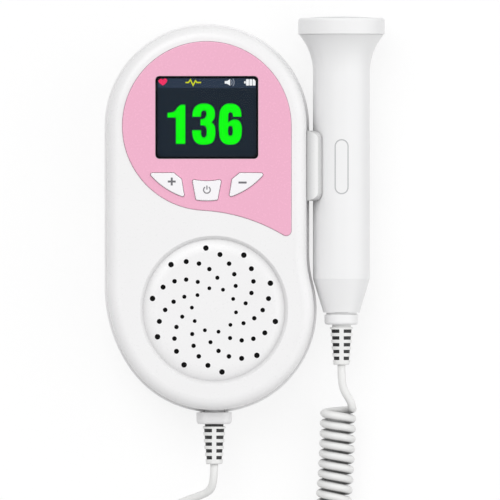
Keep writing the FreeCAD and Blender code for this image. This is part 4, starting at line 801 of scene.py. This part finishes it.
def add_display(materials):
    """The lit picture behind the window: a status bar with its marks, and the number."""
    low_x, low_y, high_x, high_y = WINDOW_BOX
    screen = lit("screen_dark", rgb(23, 34, 45))
    bar = lit("screen_bar", rgb(43, 56, 74))
    green = lit("screen_green", rgb(0, 255, 0))
    red = lit("screen_red", rgb(247, 51, 102))
    yellow = lit("screen_yellow", rgb(206, 214, 30))
    pale = lit("screen_white", rgb(246, 248, 250))
    grey = lit("screen_grey", rgb(140, 148, 162))
    picture = sharp_box(low_x, low_y, high_x, STATUS_BAR_LOW)
    flat_piece("display_picture", [picture], PICTURE_LEVELS, "unit", screen)
    strip = sharp_box(low_x, STATUS_BAR_LOW, high_x, high_y)
    flat_piece("display_status_bar", [strip], PICTURE_LEVELS, "unit", bar)
    arcs = [arc_points(*SOUND_CENTRE, r, -SOUND_ANGLE, SOUND_ANGLE, SOUND_STEPS) for r in SOUND_RADII]
    icons = [
        ("display_number", [DIGIT_ONE, DIGIT_THREE, DIGIT_SIX, SIX_HOLE], green),
        ("display_heart", [HEART], red),
        ("display_pulse_mark", [stroke(PULSE_MARK, PULSE_LINE)], yellow),
        ("display_speaker_mark", [corners(SPEAKER_MARK)], pale),
        ("display_sound_waves", [stroke(arc, SOUND_LINE) for arc in arcs], grey),
        ("display_battery_mark", [rounded_box(*bar_box) for bar_box in BATTERY_BARS], pale),
    ]
    for name, loops, material in icons:
        flat_piece(name, loops, ICON_LEVELS, "unit", material)
    add_window_mask(materials)


def add_window_mask(materials):
    """The black border printed on the back of the window, and a thin black wall from it to the display
    that stands in for shade.
    """
    outer = inset_window(0.0, WINDOW_CORNER)
    inner = inset_window(MASK_WIDTH, MASK_CORNER)
    ink = moulded("mask_ink", rgb(4, 7, 12), 0.6, grain=0.3, specular=0.05)
    flat_piece("display_mask", [outer, inner], MASK_LEVELS, "unit", ink)
    walls = [inset_window(inset, MASK_CORNER) for inset in SHADE_INSETS]
    black = materials["foam_black"]
    flat_piece("display_shade", walls, SHADE_LEVELS, "unit", black)


def inset_window(inset, radius):
    """The window's outline moved inwards, with rounded corners."""
    low_x, low_y, high_x, high_y = WINDOW_BOX
    return rounded_box(low_x + inset, low_y + inset, high_x - inset, high_y - inset, radius)


# Printed marks on the keys: their level, their places, and the sizes of their lines, in which the
# power mark is a ring with a gap, between two angles, and a bar given by its half width, low and high.
KEY_TOP = 29.8
PRINT_THICK = 0.03
PLUS_PLACE = (-12.0, -19.05)
MINUS_PLACE = (12.25, -19.4)
POWER_PLACE = (0.05, -21.9)
SYMBOL_LINE = 0.68
PLUS_ARM = 1.35
MINUS_ARM = 1.4
MINUS_CORNER = 0.1
RING_RADIUS = 1.15
RING_ANGLES = (125, 415)
RING_STEPS = 28
RING_LINE = 0.42
POWER_BAR = (0.2, 0.1, 1.5)
POWER_BAR_CORNER = 0.08


def add_key_symbols():
    """The printed marks on the keys."""
    ink = moulded("symbol_ink", rgb(104, 102, 108), 0.5, grain=0.2, depth=0.004)
    faint = moulded("symbol_ink_faint", rgb(128, 125, 130), 0.5, grain=0.2, depth=0.004)
    levels = (KEY_TOP, KEY_TOP + PRINT_THICK)
    x, y = PLUS_PLACE
    arm, half = PLUS_ARM, SYMBOL_LINE / 2
    plus = corners([
        (x - half, y - arm), (x + half, y - arm), (x + half, y - half), (x + arm, y - half),
        (x + arm, y + half), (x + half, y + half), (x + half, y + arm), (x - half, y + arm),
        (x - half, y + half), (x - arm, y + half), (x - arm, y - half), (x - half, y - half),
    ])
    flat_piece("plus_symbol", [plus], levels, "plus_key", ink)
    x, y = MINUS_PLACE
    minus = rounded_box(x - MINUS_ARM, y - half, x + MINUS_ARM, y + half, MINUS_CORNER)
    flat_piece("minus_symbol", [minus], levels, "minus_key", ink)
    x, y = POWER_PLACE
    ring = stroke(arc_points(x, y, RING_RADIUS, *RING_ANGLES, RING_STEPS), RING_LINE)
    half, low, high = POWER_BAR
    bar = rounded_box(x - half, y + low, x + half, y + high, POWER_BAR_CORNER)
    flat_piece("power_symbol", [ring, bar], levels, "power_key", faint)


# Printed outline on the probe's handle, and how deep its underside sits in the handle.
HANDLE_RADIUS = 9.78
PILL_HALF_WIDTH = 2.43
PILL_Y = (-23.4, -4.5)
PILL_LINE = 0.42
PILL_SINK = 0.02
PILL_STEPS = 14


def add_pill_outline():
    """The printed outline on the handle, wrapped on its round surface."""
    ink = moulded("pill_ink", rgb(188, 188, 190), 0.5, grain=0.3, depth=0.004)
    low, high = PILL_Y
    outer = pill_loop(PILL_HALF_WIDTH, low, high)
    inner = pill_loop(PILL_HALF_WIDTH - PILL_LINE, low + PILL_LINE, high - PILL_LINE)
    radii = (HANDLE_RADIUS - PILL_SINK, HANDLE_RADIUS + PRINT_THICK)
    points = [wrap(place, radius) for radius in radii for loop in (outer, inner) for place in loop]
    count = len(outer)
    faces = []
    for i in range(count):
        j = (i + 1) % count
        faces.append((2 * count + i, 2 * count + j, 3 * count + j, 3 * count + i))
        faces.append((i, j, count + j, count + i))
        faces.append((i, j, 2 * count + j, 2 * count + i))
        faces.append((count + i, count + j, 3 * count + j, 3 * count + i))
    pill = add_object("handle_outline_print", build_mesh("handle_outline_print", points, faces, False))
    pill.data.materials.append(ink)
    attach(pill, "probe")


def pill_loop(half_width, low, high):
    """The outline of a long plate with round ends, between two heights."""
    top = arc_points(0, high - half_width, half_width, 0, 180, PILL_STEPS)
    return top + arc_points(0, low + half_width, half_width, 180, 360, PILL_STEPS)


def wrap(place, radius):
    """A flat point (across, y) laid round the handle's axis."""
    across, y = place
    angle = across / HANDLE_RADIUS
    x, z = PROBE_AXIS
    return (x + radius * math.sin(angle), y, z + radius * math.cos(angle))


# Stage -------------------------------------------------------------------------------------------


def seen_directly(tree):
    """1 for rays that show the background itself: from the camera, in a mirror or through glass."""
    rays = add_node(tree, "ShaderNodeLightPath").outputs
    seen = combine(tree, "MAXIMUM", rays["Is Camera Ray"], rays["Is Glossy Ray"])
    return combine(tree, "MAXIMUM", seen, rays["Is Transmission Ray"])


def add_world():
    """An even surround that is white where it is seen itself."""
    world = bpy.data.worlds.new("surround")
    world.use_nodes = True
    tree = world.node_tree
    background = tree.nodes["Background"]
    background.inputs["Color"].default_value = (1, 1, 1, 1)
    level = spread(tree, seen_directly(tree), AMBIENT, 1.0, 0.0, 1.0)
    tree.links.new(level, background.inputs["Strength"])
    bpy.context.scene.world = world


def add_floor():
    """A wide white table just below the object, glowing so far that it is seen as pure white."""
    half = FLOOR_HALF
    points = [(-half, -half, 0), (half, -half, 0), (half, half, 0), (-half, half, 0)]
    floor = add_object("floor", build_mesh("floor", points, [(0, 1, 2, 3)], False))
    floor.location.z = -FLOOR_SINK * MM
    material, tree, shader = new_material("floor_white")
    seen = seen_directly(tree)
    own = 1 - FLOOR_GLOW
    colour = mix_colours(tree, seen, (FLOOR_BOUNCE,) * 3 + (1,), (own, own, own, 1))
    tree.links.new(colour, shader.inputs["Base Color"])
    shader.inputs["Emission Color"].default_value = (1, 1, 1, 1)
    tree.links.new(spread(tree, seen, 0.0, FLOOR_GLOW, 0.0, 1.0), shader.inputs["Emission Strength"])
    shader.inputs["Roughness"].default_value = 1.0
    shader.inputs["Specular IOR Level"].default_value = 0.0
    floor.data.materials.append(material)


def add_lamp(name, direction, strength, spread_angle):
    """A distant lamp that shines in a direction, from a patch of sky of an angle in degrees."""
    light = bpy.data.lights.new(name, "SUN")
    light.energy = strength
    light.angle = math.radians(spread_angle)
    lamp = bpy.data.objects.new(name, light)
    lamp.rotation_euler = Vector(direction).to_track_quat("-Z", "Y").to_euler()
    bpy.context.scene.collection.objects.link(lamp)


bpy.context.scene.view_settings.view_transform = "Standard"
add_camera()
materials = add_materials()
add_cord(materials["cord_white"])
dress_nodes(materials)
add_display(materials)
add_key_symbols()
add_pill_outline()
add_world()
add_floor()
add_lamp("key_light", KEY_DIRECTION, KEY_STRENGTH, KEY_SPREAD)
add_lamp("fill_light", FILL_DIRECTION, FILL_STRENGTH, FILL_SPREAD)
